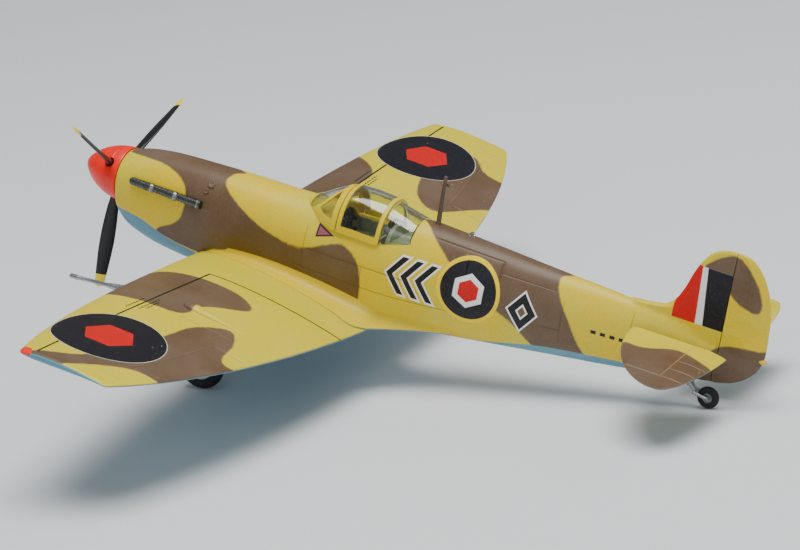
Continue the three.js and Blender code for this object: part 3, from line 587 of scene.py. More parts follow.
def painted(name, marks=None, finish=0.4, line_colour=tint(84, 62, 34), sand_colour=SAND):
    """Sprayed camouflage: sand and brown above, blue-grey below, with marks, dust and engraved lines."""
    s = Shader(name, Specular_IOR_Level=0.36)
    where = s.attribute("level", vector=True)
    edge_wobble = s.math("MULTIPLY", s.math("SUBTRACT", s.noise(where, 1.3), 0.5), 0.35)
    brown_part = s.ramp(s.math("ADD", s.attribute("camo"), edge_wobble), -0.22, 0.22)
    blue_part = s.ramp(s.attribute("underside"), -0.12, 0.12)
    broad = s.noise(where, 0.11, 4.0)
    fine = s.noise(where, 2.6, 5.0, 0.7)
    sand = s.mix(s.ramp(broad, 0.35, 0.7), sand_colour, tint(216, 198, 50))
    brown = s.mix(s.ramp(broad, 0.3, 0.7), BROWN, tint(108, 88, 70))
    blue = s.mix(s.ramp(broad, 0.3, 0.7), AZURE, tint(106, 158, 176))
    colour = s.mix(blue_part, s.mix(brown_part, sand, brown), blue)
    if marks:
        colour = marks(s, where, colour)
    worn = s.mix(s.math("MULTIPLY", s.ramp(fine, 0.45, 0.8), 0.03), s.shade(colour, fine, 0.93, 1.05), DUST)
    grooved = s.mix(s.math("MULTIPLY", s.attribute("groove"), 0.65), worn, line_colour)
    speck = s.node("TexVoronoi", where, feature="F1")
    s.feed(speck.inputs["Scale"], 0.55)
    dots = s.math("MULTIPLY", s.ramp(speck.outputs[0], 0.03, 0.07, 1.0, 0.0),
                  s.ramp(s.noise(where, 0.2), 0.5, 0.6))
    s.to("Base Color", s.mix(s.math("MULTIPLY", dots, 0.6), grooved, DUST))
    s.to("Roughness", s.ramp(fine, 0.2, 0.8, finish - 0.06, finish + 0.1))
    s.bump(s.math("ADD", fine, s.math("MULTIPLY", s.noise(where, 9.0, 2.0), 0.4)), 0.012 * MM)
    return s.material


def wing_marks(s, where, colour):
    """A disc with a six-sided centre, the edge lines of the walkway, and dashes beside them."""
    x, y, _ = s.axes(where)
    out = s.math("ABSOLUTE", x)
    spanwise = s.rectangle(out, y, 16.3, 68.3, 34.72, 35.08)
    chordwise = s.rectangle(out, y, 16.3, 16.62, 34.72, 60.2)
    colour = s.lay(colour, BLACK, s.math("MINIMUM", spanwise, chordwise))
    for row_y, start, end in ((33.9, 35.6, 41.4), (35.85, 34.2, 40.4), (36.5, 35.4, 39.4)):
        dashes = s.math("SUBTRACT", s.math("PINGPONG", out, 0.42), 0.3)
        row = s.math("MAXIMUM", dashes, s.rectangle(out, y, start, end, row_y - 0.15, row_y + 0.15))
        colour = s.lay(colour, BLACK, row)
    disc = s.circle(out, y, (54.1, 38.8), 9)
    colour = s.lay(colour, tint(196, 196, 170), disc, grow=0.14)
    colour = s.lay(colour, NAVY, disc)
    colour = s.lay(colour, RED, s.hexagon(out, y, (54.1, 38.8), 3.7))
    colour = s.lay(colour, AZURE, s.math("SUBTRACT", 69.3, out))
    return s.lay(colour, tint(244, 36, 8), s.circle(x, y, (69.4, 32.8), 1.6))


def body_marks(s, where, colour):
    """Three chevrons, a hollow diamond, a disc, a row of dashes and a triangle."""
    _, y, z = s.axes(where)
    height = s.math("ABSOLUTE", s.math("SUBTRACT", z, 0.95))
    swept = s.math("SUBTRACT", y, s.math("MULTIPLY", height, 0.75))
    first, second, third = [s.slab(swept, start, start + 1.15) for start in (61.4, 64.0, 66.6)]
    chevrons = s.math("MINIMUM", s.math("MINIMUM", first, second), third)
    arrows = s.math("MAXIMUM", chevrons, s.slab(z, -2.25, 4.15))
    diamond = s.math("ADD", s.math("ABSOLUTE", s.math("SUBTRACT", y, 85.4)),
                     s.math("MULTIPLY", s.math("ABSOLUTE", s.math("SUBTRACT", z, 1.1)), 0.76))
    ring = s.math("SUBTRACT", s.math("ABSOLUTE", s.math("SUBTRACT", diamond, 1.75)), 0.68)
    shapes = s.math("MINIMUM", arrows, ring)
    colour = s.lay(colour, WHITE, shapes, grow=0.36)
    colour = s.lay(colour, BLACK, shapes)
    disc = s.circle(y, z, (75.9, 1.9), 5.5)
    colour = s.lay(colour, YELLOW, disc)
    colour = s.lay(colour, NAVY, disc, grow=-0.65)
    centre = s.hexagon(y, z, (75.9, 1.9), 2.55)
    colour = s.lay(colour, WHITE, centre)
    colour = s.lay(colour, RED, centre, grow=-0.85)
    for start in (97.2, 98.8, 100.4, 102.0):
        colour = s.lay(colour, BLACK, s.rectangle(y, z, start, start + 0.9, 1.0, 1.6))
    along_it = s.math("SUBTRACT", y, 47.7)
    above = s.math("SUBTRACT", s.math("ADD", z, s.math("MULTIPLY", along_it, 0.38)), 4.95)
    below = s.math("SUBTRACT", s.math("ADD", s.math("MULTIPLY", along_it, 0.3), 2.7), z)
    triangle = s.math("MAXIMUM", s.math("MAXIMUM", above, below), s.math("SUBTRACT", 0, along_it))
    colour = s.lay(colour, tint(52, 34, 50), triangle)
    return s.lay(colour, tint(150, 84, 96), triangle, grow=-0.28)


def fin_marks(s, where, colour):
    """Three upright stripes from the fin's leading edge back to the rudder's hinge."""
    _, y, z = s.axes(where)
    panel = s.rectangle(y, z, 109.2, 117.95, 7.3, 16.9)
    colour = s.lay(colour, RED, panel)
    for paint, front, lean in ((WHITE, 113.0, 0.048), (NAVY, 114.1, 0.09)):
        edge = s.math("SUBTRACT", front, s.math("MULTIPLY", s.math("SUBTRACT", z, 12.0), lean))
        colour = s.lay(colour, paint, s.math("MAXIMUM", panel, s.math("SUBTRACT", edge, y)))
    return colour


def plain(name, base, finish=0.45, metal=0.0, rubbed=0.2, grain=3.0, depth=0.01, **sockets):
    """One paint or plastic with mottled colour, uneven gloss and rubbed edges."""
    s = Shader(name, Metallic=metal, **sockets)
    where = s.attribute("level", vector=True)
    fine = s.noise(where, grain, 5.0, 0.65)
    broad = s.noise(where, grain / 8, 3.0)
    light = tuple(min(1, c * 1.4 + 0.01) for c in base[:3]) + (1,)
    dark = tuple(c * 0.82 for c in base[:3]) + (1,)
    colour = s.mix(s.ramp(broad, 0.35, 0.7), base, dark)
    colour = s.mix(s.math("MULTIPLY", s.ramp(fine, 0.5, 0.85), rubbed), colour, light)
    s.to("Base Color", colour)
    s.to("Roughness", s.ramp(fine, 0.2, 0.8, max(0.03, finish - 0.1), finish + 0.12))
    s.bump(fine, depth * MM)
    return s


sand_paint = painted("camouflage paint")
PALE_SAND = tint(214, 198, 30)
tail_paint = painted("camouflage paint on the tail", line_colour=tint(190, 160, 110), sand_colour=PALE_SAND)
wing_paint = painted("camouflage paint with wing marks", wing_marks, sand_colour=PALE_SAND)
body_paint = painted("camouflage paint with side marks", body_marks)
fin_paint = painted("camouflage paint with fin stripes", fin_marks)
bare_spinner = plain("orange spinner plastic", tint(255, 26, 0), 0.34, rubbed=0.0, depth=0.004)
black = plain("black plastic", tint(18, 18, 20), 0.42, depth=0.008)
steel = plain("steel pin", tint(150, 152, 155), 0.3, 1.0, depth=0.004)
gun_metal = plain("gun metal", tint(176, 180, 182), 0.32, 0.85, depth=0.006)
silver = plain("silver paint", tint(170, 172, 172), 0.34, 0.75, grain=4, depth=0.008)
cockpit_green = plain("cockpit grey-green", tint(166, 176, 138), 0.5, depth=0.008)
leather = plain("brown leather", tint(96, 62, 40), 0.55, grain=5, depth=0.03)
mast_brown = plain("mast brown", tint(92, 72, 54), 0.5, depth=0.006)
rubber = plain("tyre rubber", tint(34, 33, 33), 0.75, grain=4, depth=0.02)
under_blue = plain("underside blue", AZURE, 0.42, depth=0.01)
belt_tan = plain("seat belts", tint(186, 164, 120), 0.7, grain=8, depth=0.02)

def clear_plastic():
    """Clear styrene with faint dust and ripples."""
    s = Shader("clear canopy", IOR=1.49)
    s.surface.inputs["Transmission Weight"].default_value = 1.0
    where = s.attribute("level", vector=True)
    dust = s.noise(where, 2.2, 5.0, 0.7)
    s.to("Base Color", s.mix(s.ramp(dust, 0.45, 0.8), tint(244, 249, 246), tint(214, 226, 220)))
    s.to("Roughness", s.ramp(dust, 0.3, 0.8, 0.02, 0.12))
    s.bump(s.noise(where, 0.5, 2.0), 0.02 * MM)
    return s.material


def lattice_material():
    """A fine square honeycomb: painted shade makes the recessed cells near black, and the grid between them
    is grey metal.
    """
    s = Shader("radiator lattice", Metallic=0.6)
    where = s.attribute("level", vector=True)
    x, _, z = s.axes(where)
    cells = s.math("MAXIMUM", s.math("PINGPONG", x, 0.22), s.math("PINGPONG", z, 0.22))
    # The near-black tint is painted shade for the depth of the open cells; the grey is the metal of the grid.
    s.to("Base Color", s.mix(s.ramp(cells, 0.16, 0.2), tint(24, 24, 24), tint(104, 102, 98)))
    s.to("Roughness", s.ramp(s.noise(where, 3.0), 0.2, 0.8, 0.4, 0.65))
    s.bump(s.ramp(cells, 0.14, 0.2), 0.12 * MM)
    return s.material


def exhaust_material():
    """Scorched metal pipes with brighter collars."""
    s = plain("exhaust metal", tint(92, 96, 92), 0.3, 0.85, grain=5, depth=0.01)
    mottled = s.surface.inputs["Base Color"].links[0].from_socket
    s.to("Base Color", s.mix(s.attribute("bright"), mottled, tint(150, 152, 148)))
    return s.material


def blade_material():
    """Black blades with yellow tips, at a set distance from the axis."""
    s = plain("propeller blade paint", tint(14, 14, 16), 0.36, depth=0.006)
    mottled = s.surface.inputs["Base Color"].links[0].from_socket
    x, _, z = s.axes(s.attribute("level", vector=True))
    radius = s.math("SQRT", s.math("ADD", s.math("MULTIPLY", x, x), s.math("MULTIPLY", z, z)))
    s.to("Base Color", s.mix(s.ramp(radius, 18.75, 18.85), mottled, tint(255, 224, 0)))
    return s.material


def dial_material():
    """A black panel with pale rings and hands, as generic round dials."""
    s = plain("instrument panel", tint(24, 26, 26), 0.4)
    mottled = s.surface.inputs["Base Color"].links[0].from_socket
    x, _, z = s.axes(s.attribute("level", vector=True))
    centres = [(-1.1, 4.6), (0, 4.6), (1.1, 4.6), (-1.1, 3.5), (0, 3.5), (1.1, 3.5), (-2.5, 4.2), (2.5, 4.2)]
    colour = mottled
    for centre in centres:
        face = s.circle(x, z, centre, 0.42)
        rim = s.math("SUBTRACT", s.math("ABSOLUTE", face), 0.05)
        colour = s.lay(colour, tint(190, 192, 184), rim, soft=0.02)
        hand = s.rectangle(x, z, centre[0] - 0.03, centre[0] + 0.03, centre[1], centre[1] + 0.3)
        colour = s.lay(colour, tint(220, 220, 210), hand, soft=0.02)
    s.to("Base Color", colour)
    return s.material


glass = clear_plastic()
grille = lattice_material()
exhaust_metal = exhaust_material()
blade_paint = blade_material()
dials = dial_material()


# ---------------------------------------------------------------- fuselage
WALL = 0.9
SEAM = 0.012  # half the gap along the joint between the fuselage halves
ENGRAVING = 0.07
# Engraved lines round the fuselage: y, from degrees, to degrees.
FRAMES = [(45.9, 60, 107), (56.8, 88, 128), (74.6, 41, 61), (80.4, 30, 59), (92, 60, 118), (103.5, 30, 150)]
# Engraved lines along it: degrees, from y, to y.
STRINGERS = [(30, 68, 80.4), (48, 80.4, 90.5), (88, 46, 65), (107, 44, 73), (100, 88, 92)]


def body_ring(y, degrees, inset=0.0):
    """Points of the fuselage skin; y and degrees are grids."""
    top, bottom, half_width, widest = along(FUSELAGE, y)
    a = np.radians(degrees)
    up = np.cos(a) >= 0
    height = np.where(up, top - widest, widest - bottom)
    fullness = np.where(up, 1.0, LOWER_FULLNESS)
    x = np.maximum(half_width - inset, 0.06) * np.abs(np.sin(a)) ** fullness
    z = widest + np.maximum(height - inset, 0.06) * power(np.cos(a), fullness)
    return x, z


def on_lines(y, degrees):
    """1 on the engraved lines of the fuselage grid, 0 elsewhere."""
    hit = np.zeros(y.shape)
    for line, low, high in FRAMES:
        hit[on_line(y, line) & (degrees >= low) & (degrees <= high)] = 1
    for line, low, high in STRINGERS:
        hit[on_line(degrees, line) & (y >= low) & (y <= high)] = 1
    return hit


def hull_half(side):
    rows = lined(NOSE_Y, TAIL_Y, 0.6, [frame_line[0] for frame_line in FRAMES])
    turns = lined(0, 180, 3, [stringer[0] for stringer in STRINGERS], reach=0.9)
    y, degrees = np.meshgrid(rows, turns, indexing="ij")
    cut = on_lines(y, degrees)
    front = np.clip(1 - (y - NOSE_Y) / 0.35, 0, 1) ** 2 * 0.2
    x, z = body_ring(y, degrees, front + ENGRAVING * cut)
    outer = np.stack([np.maximum(x, SEAM), y, keep_above_wing(x, y, z)], -1)
    inset = np.where((y < NOSE_Y + 0.9) | (y > 112), 0.95, 1) * WALL
    x, z = body_ring(y, degrees, inset)
    inner = np.stack([np.maximum(x, SEAM), y, keep_above_wing(x, y, z) + 0.02], -1)
    rings = np.concatenate([outer, inner[:, ::-1]], 1)
    return mirrored(loft(rings), side)


def keep_above_wing(x, y, z):
    """Heights kept over the wing's middle surface, where the wing passes under the hull."""
    lead, chord = wing_chord(np.abs(x))
    u = (y - lead) / chord
    over = (u > 0.005) & (u < 0.995)
    return np.where(over, np.maximum(z, wing_height(np.abs(x), np.clip(u, 0, 1), 0) + 0.06), z)


def groove_of(p):
    """Points that lie below the smooth skin are in an engraved line."""
    widest = along(FUSELAGE, p[:, 1])[3]
    x, z = body_ring(p[:, 1], ring_angle(p[:, 1], p[:, 2]))
    distance = np.hypot(x, z - widest) - np.hypot(p[:, 0], p[:, 2] - widest)
    return np.clip(distance / ENGRAVING, 0, 1) * (distance < 0.3) * (p[:, 1] > NOSE_Y + 0.6)


def opening():
    """What the cockpit's opening takes out of the fuselage."""
    outline = [(50.3, 4.6), (59.1, 4.6), (64.2, 6.1), (64.2, 20), (50.3, 20)]
    return loft([[(x, y, z) for y, z in outline] for x in (-10, 10)])


def shaft_hole():
    return bar((0, 5, 0), (0, 20, 0), [(0, 1.35), (1, 1.35)])


def chin():
    """The deep lower cowl. Ahead of the wing it springs from the hull's widest line, so it has no step."""
    rows = np.concatenate([[8.45, 8.5, 8.6, 8.8], np.arange(9.1, 42.1, 0.5)])
    bottom = along(CHIN, rows)[0]
    fade = np.clip((rows - 23) / 12, 0, 1)
    fade = fade * fade * (3 - 2 * fade)
    spring = 0.1 - 5.1 * fade
    half_width = body_half_width(rows, spring) + 0.03 - 0.4 * fade
    rounding = np.clip(1 - (rows - 8.45) / 0.4, 0, 1) ** 2 * 0.25
    turn = np.radians(np.arange(0, 181, 3))[None, :]
    x = (half_width - rounding)[:, None] * power(np.cos(turn), 0.8)
    z = spring[:, None] - (spring - bottom - rounding)[:, None] * power(np.sin(turn), 0.8)
    y = np.broadcast_to(rows[:, None], x.shape)
    return loft(np.stack([x, y, z], -1))


# ---------------------------------------------------------------- wing
def wing_chord(x):
    s = np.sqrt(1 - (np.asarray(x, float) / WING["ellipse"]) ** 2)
    lead = WING["lead"][0] - WING["lead"][1] * s
    return lead, WING["trail"][0] + WING["trail"][1] * s - lead


def wing_height(x, u, side, swell=1.0):
    """Height of the wing's upper (1), middle (0) or lower (-1) surface at x and a share of the chord."""
    lead, chord = wing_chord(x)
    y = lead + u * chord
    ratio = WING["ratio"][0] + (WING["ratio"][1] - WING["ratio"][0]) * x / WING["tip"]
    shape = 0.2969 * np.sqrt(u) - 0.126 * u - 0.3516 * u**2 + 0.2843 * u**3 - 0.1015 * u**4
    level_z = WING["root_z"] + WING["dihedral"] * (np.hypot(x, WING["level_x"]) - WING["level_x"])
    twist = WING["incidence"] * (WING["twist_y"] - y)
    camber = 4 * WING["camber"] * u * (1 - u) * chord
    edge = WING["edge"] * np.clip(np.sqrt(u) * 6, 0, 1)
    return level_z + twist + camber + side * swell * (5 * ratio * shape * chord + edge)


AILERON = {"hinge": 0.78, "inner": 41.4, "outer": 60.6}
WING_RIBS = [(36.9, 0.4, 0.78), (41.4, 0.78, 1), (60.6, 0.78, 1), (65.4, 0.7, 0.9)]  # x, from u, to u


def wing_skin(side, from_x):
    """The upper or lower skin of a half-wing, from the root to the rounded tip."""
    tip_round = 0.8
    rows = lined(from_x, WING["tip"] - tip_round, 0.6, [rib[0] for rib in WING_RIBS])
    turn = np.radians([15, 30, 45, 60, 72, 82, 89])
    xs = np.concatenate([rows, WING["tip"] - tip_round + tip_round * np.sin(turn)])
    swell = np.concatenate([np.ones(len(rows)), np.cos(turn)])
    shares = lined(0, 1, 1 / 60, [AILERON["hinge"] ** (1 / 1.5)], reach=0.0025) ** 1.5
    x, u = np.meshgrid(xs, shares, indexing="ij")
    fullness = swell[:, None]
    lead, chord = wing_chord(x)
    squeeze = tip_round * (1 - fullness)
    y = lead + squeeze + u * (chord - 2 * squeeze)
    hit = np.abs(u - AILERON["hinge"]) < 1e-4
    hit = hit & (x > AILERON["inner"]) & (x < AILERON["outer"])
    for rib, low, high in WING_RIBS:
        hit = hit | (on_line(x, rib) & (u >= low) & (u <= high))
    face = np.stack([x, y, wing_height(x, u, side, fullness) - side * ENGRAVING * hit], -1)
    middle = np.stack([x, y, wing_height(x, u, 0) + side * 0.012], -1)
    rings = np.concatenate([face, middle[:, :0:-1]], 1)
    return loft(rings)


def wing_groove(side):
    def measure(p):
        x = np.clip(np.abs(p[:, 0]), 0, WING["tip"])
        lead, chord = wing_chord(x)
        u = np.clip((p[:, 1] - lead) / chord, 0, 1)
        below = side * (wing_height(x, u, side) - p[:, 2])
        return ((below > 0.05) & (below < 0.1) & (x < 67) & (u > 0.02)).astype(float)
    return measure


def wheel_well(side):
    """The recess for the folded wheel and its leg, in the underside."""
    well = bar((22.4, 34.2, -20), (22.4, 34.2, -8.3), [(0, 4.6), (1, 4.6)], sides=64)
    channel = box(9.2, 20, 33.2, 35.6, -20, -9.3)
    return [mirrored(well, side), mirrored(channel, side)]


def fillet_floor(y):
    """Height of the wing's upper skin at the root, carried on behind the trailing edge."""
    lead, chord = wing_chord(WING["root_x"])
    share = np.clip((y - lead) / chord, 0, 1)
    return wing_height(WING["root_x"], share, 1) + np.maximum(0, y - lead - chord) * FILLET_CLIMB


def fillet_underside(p):
    """Well above 0 on the fillet's lower faces, which carry the underside colour, and below on its top."""
    height = fillet_floor(p[:, 1])
    outward = np.maximum(0, np.abs(p[:, 0]) - body_half_width(p[:, 1], height))
    return 4 * (height + WING["dihedral"] * outward - 0.15 - p[:, 2])


def fillet(side):
    """The concave fairing between the fuselage and the wing, running out behind the wing."""
    rings = []
    for y in np.arange(FILLET[0][0], FILLET[-1][0] + 0.01, 0.5):
        reach, rise = along(FILLET, y)
        floor = float(fillet_floor(y))
        edge = max(1, body_half_width(np.array(y), np.array(floor)))
        wall = max(1.2, body_half_width(np.array(y), np.array(floor + rise)))
        foot = np.array([wall - 0.08, floor + rise])
        corner = np.array([edge + 0.35, floor + 0.3])
        tip = np.array([edge + reach + 0.2, floor + WING["dihedral"] * reach - 0.03])
        t = np.linspace(0, 1, 20)[:, None]
        curve = (1 - t) ** 2 * foot + 2 * t * (1 - t) * corner + t**2 * tip
        back = [(tip[0] - 0.04, tip[1] - 0.25), (edge - 0.9, floor - 0.25), (wall - 1, floor + rise)]
        rings.append([(x, y, z) for x, z in [*curve, *back]])
    return mirrored(loft(rings), side)


# ---------------------------------------------------------------- tail
def lens(u):
    return np.clip(3.2 * np.sqrt(u) * (1 - u) ** 0.7 + 0.12, 0.12, 1)


def fin_rows(low, high):
    return np.concatenate([np.arange(low, high, 0.35), high + np.array([0, 0.12, 0.2, 0.24])])


def fin_section(z, y):
    """Half-thickness of the fin and rudder at a height and a place along the chord."""
    lead, trail, half = along(FIN, z)
    u = np.clip((y - lead) / (trail - lead), 0, 1)
    crown = math.sqrt(max(0.01, 1 - max(0, (z - FIN_TOP + 0.3) / 0.55) ** 2))
    return half * lens(u) * crown * np.clip(np.sqrt(u * 40), 0.05, 1)


def merged(a, b, softness):
    return (a + b + np.sqrt((a - b) ** 2 + softness**2)) / 2


def fin_half(side):
    rings = []
    for z in fin_rows(3.6, FIN_TOP):
        lead, _, _ = along(FIN, z)
        end = HINGE_Y - 0.03
        y = lead + (end - lead) * np.linspace(0, 1, 56) ** 1.5
        softness = 0.5 * np.clip((z - 4.2) / 2, 0, 1)
        thickness = merged(fin_section(z, y), body_half_width(y, np.full_like(y, z)) - 0.04, softness)
        flat = np.stack([np.full_like(y, SEAM), y, np.full_like(y, z)], -1)
        face = np.stack([np.maximum(thickness, SEAM + 0.01), y, np.full_like(y, z)], -1)
        rings.append(np.concatenate([face, flat[::-1]]))
    return mirrored(loft(rings), side)


def rudder():
    """The rudder, with ribs showing faintly through its cloth covering."""
    rings = []
    for z in fin_rows(-1.4, FIN_TOP):
        lead, trail, _ = along(FIN, z)
        start = HINGE_Y + 0.03 if z > 3.8 else max(TAIL_Y + 0.05, float(lead))
        y = start + (trail - start) * np.linspace(0, 1, 36) ** 1.2
        thickness = merged(fin_section(z, y), body_half_width(y, np.full_like(y, z)), 0.1)
        rib = np.exp(-((z - 1) % 2.6 - 1.3) ** 2 / 0.05) * np.sin(math.pi * np.linspace(0, 1, 36)) * 0.06
        nose = np.clip(0.8 + (y - start) / 0.5, 0, 1)
        thickness = (np.maximum(thickness, 0.08) + rib) * nose
        rings.append(both_sides(np.stack([thickness, y, np.full_like(y, z)], -1)))
    return loft(rings)


TAIL_RIBS = (3.6, 7, 10.4, 13.8)
HORN_X = 17.2  # inner edge of the elevator's horn balance


def tailplane(side, half_span, sweep, tilt):
    """A tailplane with its elevator moulded on behind an engraved hinge line."""
    shares_out = np.sin(np.linspace(1.2 / half_span, 1, 60) ** 0.8 * math.pi / 2)
    shares_out = np.sort(np.clip(shares_out, 1.2 / half_span, 0.9985))
    xs = shares_out * half_span
    for rib in (*TAIL_RIBS, HORN_X):
        xs = np.concatenate([xs[np.abs(xs - rib) > 0.16], [rib - 0.09, rib, rib + 0.09]])
    rings = []
    for x in np.sort(xs):
        rest = 1 - (x / half_span) ** 2
        lead = TAILPLANE["lead"][0] - TAILPLANE["lead"][1] * rest**0.6
        trail = TAILPLANE["trail"][0] + TAILPLANE["trail"][1] * rest**0.5
        hinge = (TAILPLANE["hinge"] - lead) / (trail - lead)
        ahead = hinge * np.linspace(0, 1, 30)[:-1] ** 1.3
        ahead = np.append(ahead[:-1], hinge - 0.009)
        behind = hinge + np.append(0.009, (1 - hinge) * np.linspace(0, 1, 14)[2:])
        u = np.concatenate([ahead, [hinge], behind])
        ratio = TAILPLANE["ratio"][0] + (TAILPLANE["ratio"][1] - TAILPLANE["ratio"][0]) * x / half_span
        half = ratio * (trail - lead) / 2 * lens(u) * np.clip(np.sqrt(u * 30), 0, 1)
        cut = (np.abs(u - hinge) < 1e-6) & (x < HORN_X)
        cut = cut | (np.any(np.abs(x - np.array(TAIL_RIBS)) < 1e-6) & (u > hinge)) | (abs(x - HORN_X) < 1e-6)
        half = np.maximum(half - ENGRAVING * cut * (u > 0.05) * (u < 0.98), 0.02)
        y = lead + u * (trail - lead) + sweep * x
        above = np.stack([np.full_like(y, x), y, TAILPLANE["z"] + half], -1)
        below = above * [1, 1, -1] + [0, 0, 2 * TAILPLANE["z"]]
        rings.append(np.concatenate([above, below[::-1][:-1]]) + [0, 0, tilt * x])
    return mirrored(loft(rings), side)


def tailplane_underside(tilt):
    """Positive under the tailplane's middle plane."""
    def measure(p):
        return TAILPLANE["z"] + tilt * np.abs(p[:, 0]) - p[:, 2]
    return measure


def tailplane_groove(half_span, sweep):
    """1 on the tailplane's engraved hinge and ribs."""
    def measure(p):
        x = np.abs(p[:, 0])
        y = p[:, 1] - sweep * x
        trail_centre, trail_depth = TAILPLANE["trail"]
        trail = trail_centre + trail_depth * np.sqrt(np.clip(1 - (x / half_span) ** 2, 0, 1))
        hinge = (np.abs(y - TAILPLANE["hinge"]) < 0.07) & (x < HORN_X)
        horn = np.abs(x - HORN_X) < 0.05
        ribs = np.min([np.abs(x - rib) for rib in TAIL_RIBS], axis=0) < 0.05
        return ((hinge | horn | (ribs & (y > TAILPLANE["hinge"]))) & (y < trail - 0.3)).astype(float)
    return measure


def elevator_gap():
    return box(-2, 2, 117.2, 130, 2, 7)


# ---------------------------------------------------------------- propeller
def spinner_radius(y):
    return SPINNER["radius"] * (1 - (1 - np.clip(y / SPINNER["length"], 0, 1)) ** 1.9) ** 0.7


def spinner_shell():
    y_out = SPINNER["length"] * np.linspace(0, 1, 110) ** 1.5
    y_in = np.linspace(SPINNER["length"], 1.4, 20)
    outside = [(float(spinner_radius(y)), y) for y in y_out[1:]]
    outside = [(r - 0.06 * math.exp(-((y - 6.45) / 0.07) ** 2), y) for r, y in outside]
    skirt = [(SPINNER["radius"] - 0.05, 8.28), (4.2, 8.28)]
    inside = [(max(0.02, float(spinner_radius(y)) - 0.8), y) for y in y_in]
    return turned([(0.002, 0), *outside, *skirt, *inside, (0.002, 1.4)], (0, 0, 0), "y", 96)


def blade_direction(angle):
    return np.array([math.sin(angle), 0, math.cos(angle)])


def blade_cuff(angle, radius, reach):
    start = np.array([0, PROPELLER_Y, 0])
    return bar(start, start + reach * blade_direction(angle), [(0, radius), (1, radius)], sides=40)


def blade(angle):
    """A twisted blade with a round root and a rounded tip."""
    tip_steps = np.array([0.8, 0.6, 0.42, 0.26, 0.13, 0.05, 0])
    radii = np.concatenate([np.arange(2.3, 20.4, 0.3), 21.1 - 0.7 * tip_steps])
    turn = np.linspace(0, 2 * math.pi, 40, endpoint=False)
    direction = blade_direction(angle)
    side = np.array([math.cos(angle), 0, -math.sin(angle)])
    rings = []
    for radius in radii:
        half_chord, half_thick, twist = along(BLADE, radius)
        half_chord *= math.sqrt(max(0.004, 1 - max(0, (radius - 20.2) / 0.9) ** 2))
        across, through = half_chord * np.cos(turn), half_thick * np.sin(turn)
        sideways = across * math.cos(twist) - through * math.sin(twist)
        y = across * math.sin(twist) + through * math.cos(twist)
        ring = np.array([0, PROPELLER_Y, 0]) + radius * direction + sideways[:, None] * side
        rings.append(ring + y[:, None] * [0, 1, 0])
    return loft(rings)


# ---------------------------------------------------------------- canopy
ARCH_Y = 51.1  # front of the sliding hood
HOOD_END = 59
GLASS = 0.35


def canopy_point(y, phi, inset=0.0):
    half_width, sill, top = along(CANOPY, y)
    x = (half_width - inset) * np.cos(phi)
    z = sill + (top - inset - sill) * np.clip(np.sin(phi), 0, 1) ** 0.92
    return np.stack([x, np.broadcast_to(y, x.shape), z], -1)


def canopy_patch(start, end, low, high, outer, inner, steps=24):
    """A closed curved plate on the canopy. low and high are angles, or functions of y that give them."""
    rings = []
    for y in np.linspace(start, end, max(3, int(round((end - start) / 0.3)) + 1)):
        a = low(y) if callable(low) else low
        b = high(y) if callable(high) else high
        phi = np.radians(np.linspace(a, b, steps))
        yy = np.full_like(phi, y)
        rings.append(np.concatenate([canopy_point(yy, phi, outer), canopy_point(yy, phi, inner)[::-1]]))
    return loft(rings)


CORNER_Y = 47  # front corner of the windscreen's side pane


def pillar(y):
    """Centre line of the windscreen's front pillar, in degrees up from the sill."""
    return 33 + (y - CORNER_Y) * 14.5


def sill_edge(y):
    """Top edge of the windscreen's sill frame, in degrees, which widens to a point at the corner."""
    if y < CORNER_Y:
        return max(6.0, pillar(y) - 4)
    return 14 + 15 * math.exp((CORNER_Y - y) / 0.8)


PROUD = -0.07
INNER_FACE = 0.42


# ---------------------------------------------------------------- small parts
EXHAUST = {"start": 11.5, "length": 14.0, "pipe": 14 / 3, "z": 1.45}


def exhaust(side):
    """Three flared pipes in line, ribbed, each ending in a collar."""
    rows = np.linspace(0, EXHAUST["length"] + 0.35, 290)
    y = EXHAUST["start"] + rows
    _, _, half_width, _ = along(FUSELAGE, y)
    share = (rows % EXHAUST["pipe"]) / EXHAUST["pipe"]
    share = np.where(rows > EXHAUST["length"], 1.0, share)
    flare = 0.62 + 0.1 * share
    ribs = 0.05 * (np.sin(rows * 2 * math.pi / 0.62) > 0) * (share < 0.82)
    collar = 0.1 * ((share > 0.945) & (share < 0.99))
    ends = np.clip(np.sqrt(np.clip(rows / 0.4, 0.02, 1)), 0, 1)
    radii = (flare + ribs + collar) * ends
    path = np.stack([half_width + 0.25 + 0.1 * share, y, np.full_like(y, EXHAUST["z"])], -1)
    return mirrored(tube(path, radii, 28), side)


def exhaust_bright(p):
    share = ((p[:, 1] - EXHAUST["start"]) % EXHAUST["pipe"]) / EXHAUST["pipe"]
    return ((share > 0.94) & (share < 0.995) & (p[:, 1] > 12)).astype(float)


CANNON_X, BLISTER_X = 28.2, 32.3


def cannon(side):
    y = np.array([15.6, 15.62, 15.75, 17.0, 17.02, 17.2, 22.5, 22.6, 23.2, 24.5, 26, 27.4, 28.4])
    radii = [0.2, 0.36, 0.42, 0.42, 0.36, 0.34, 0.34, 0.4, 0.46, 0.58, 0.72, 0.85, 0.9]
    z = -7.75 + (y - 15.8) / 11.7
    barrel = tube(np.stack([np.full_like(y, CANNON_X), y, z], -1), radii, 36)
    return mirrored(barrel, side)


def muzzle_bore(side):
    return mirrored(bar((CANNON_X, 15, -7.82), (CANNON_X, 17.4, -7.61), [(0, 0.22), (1, 0.22)], 24), side)


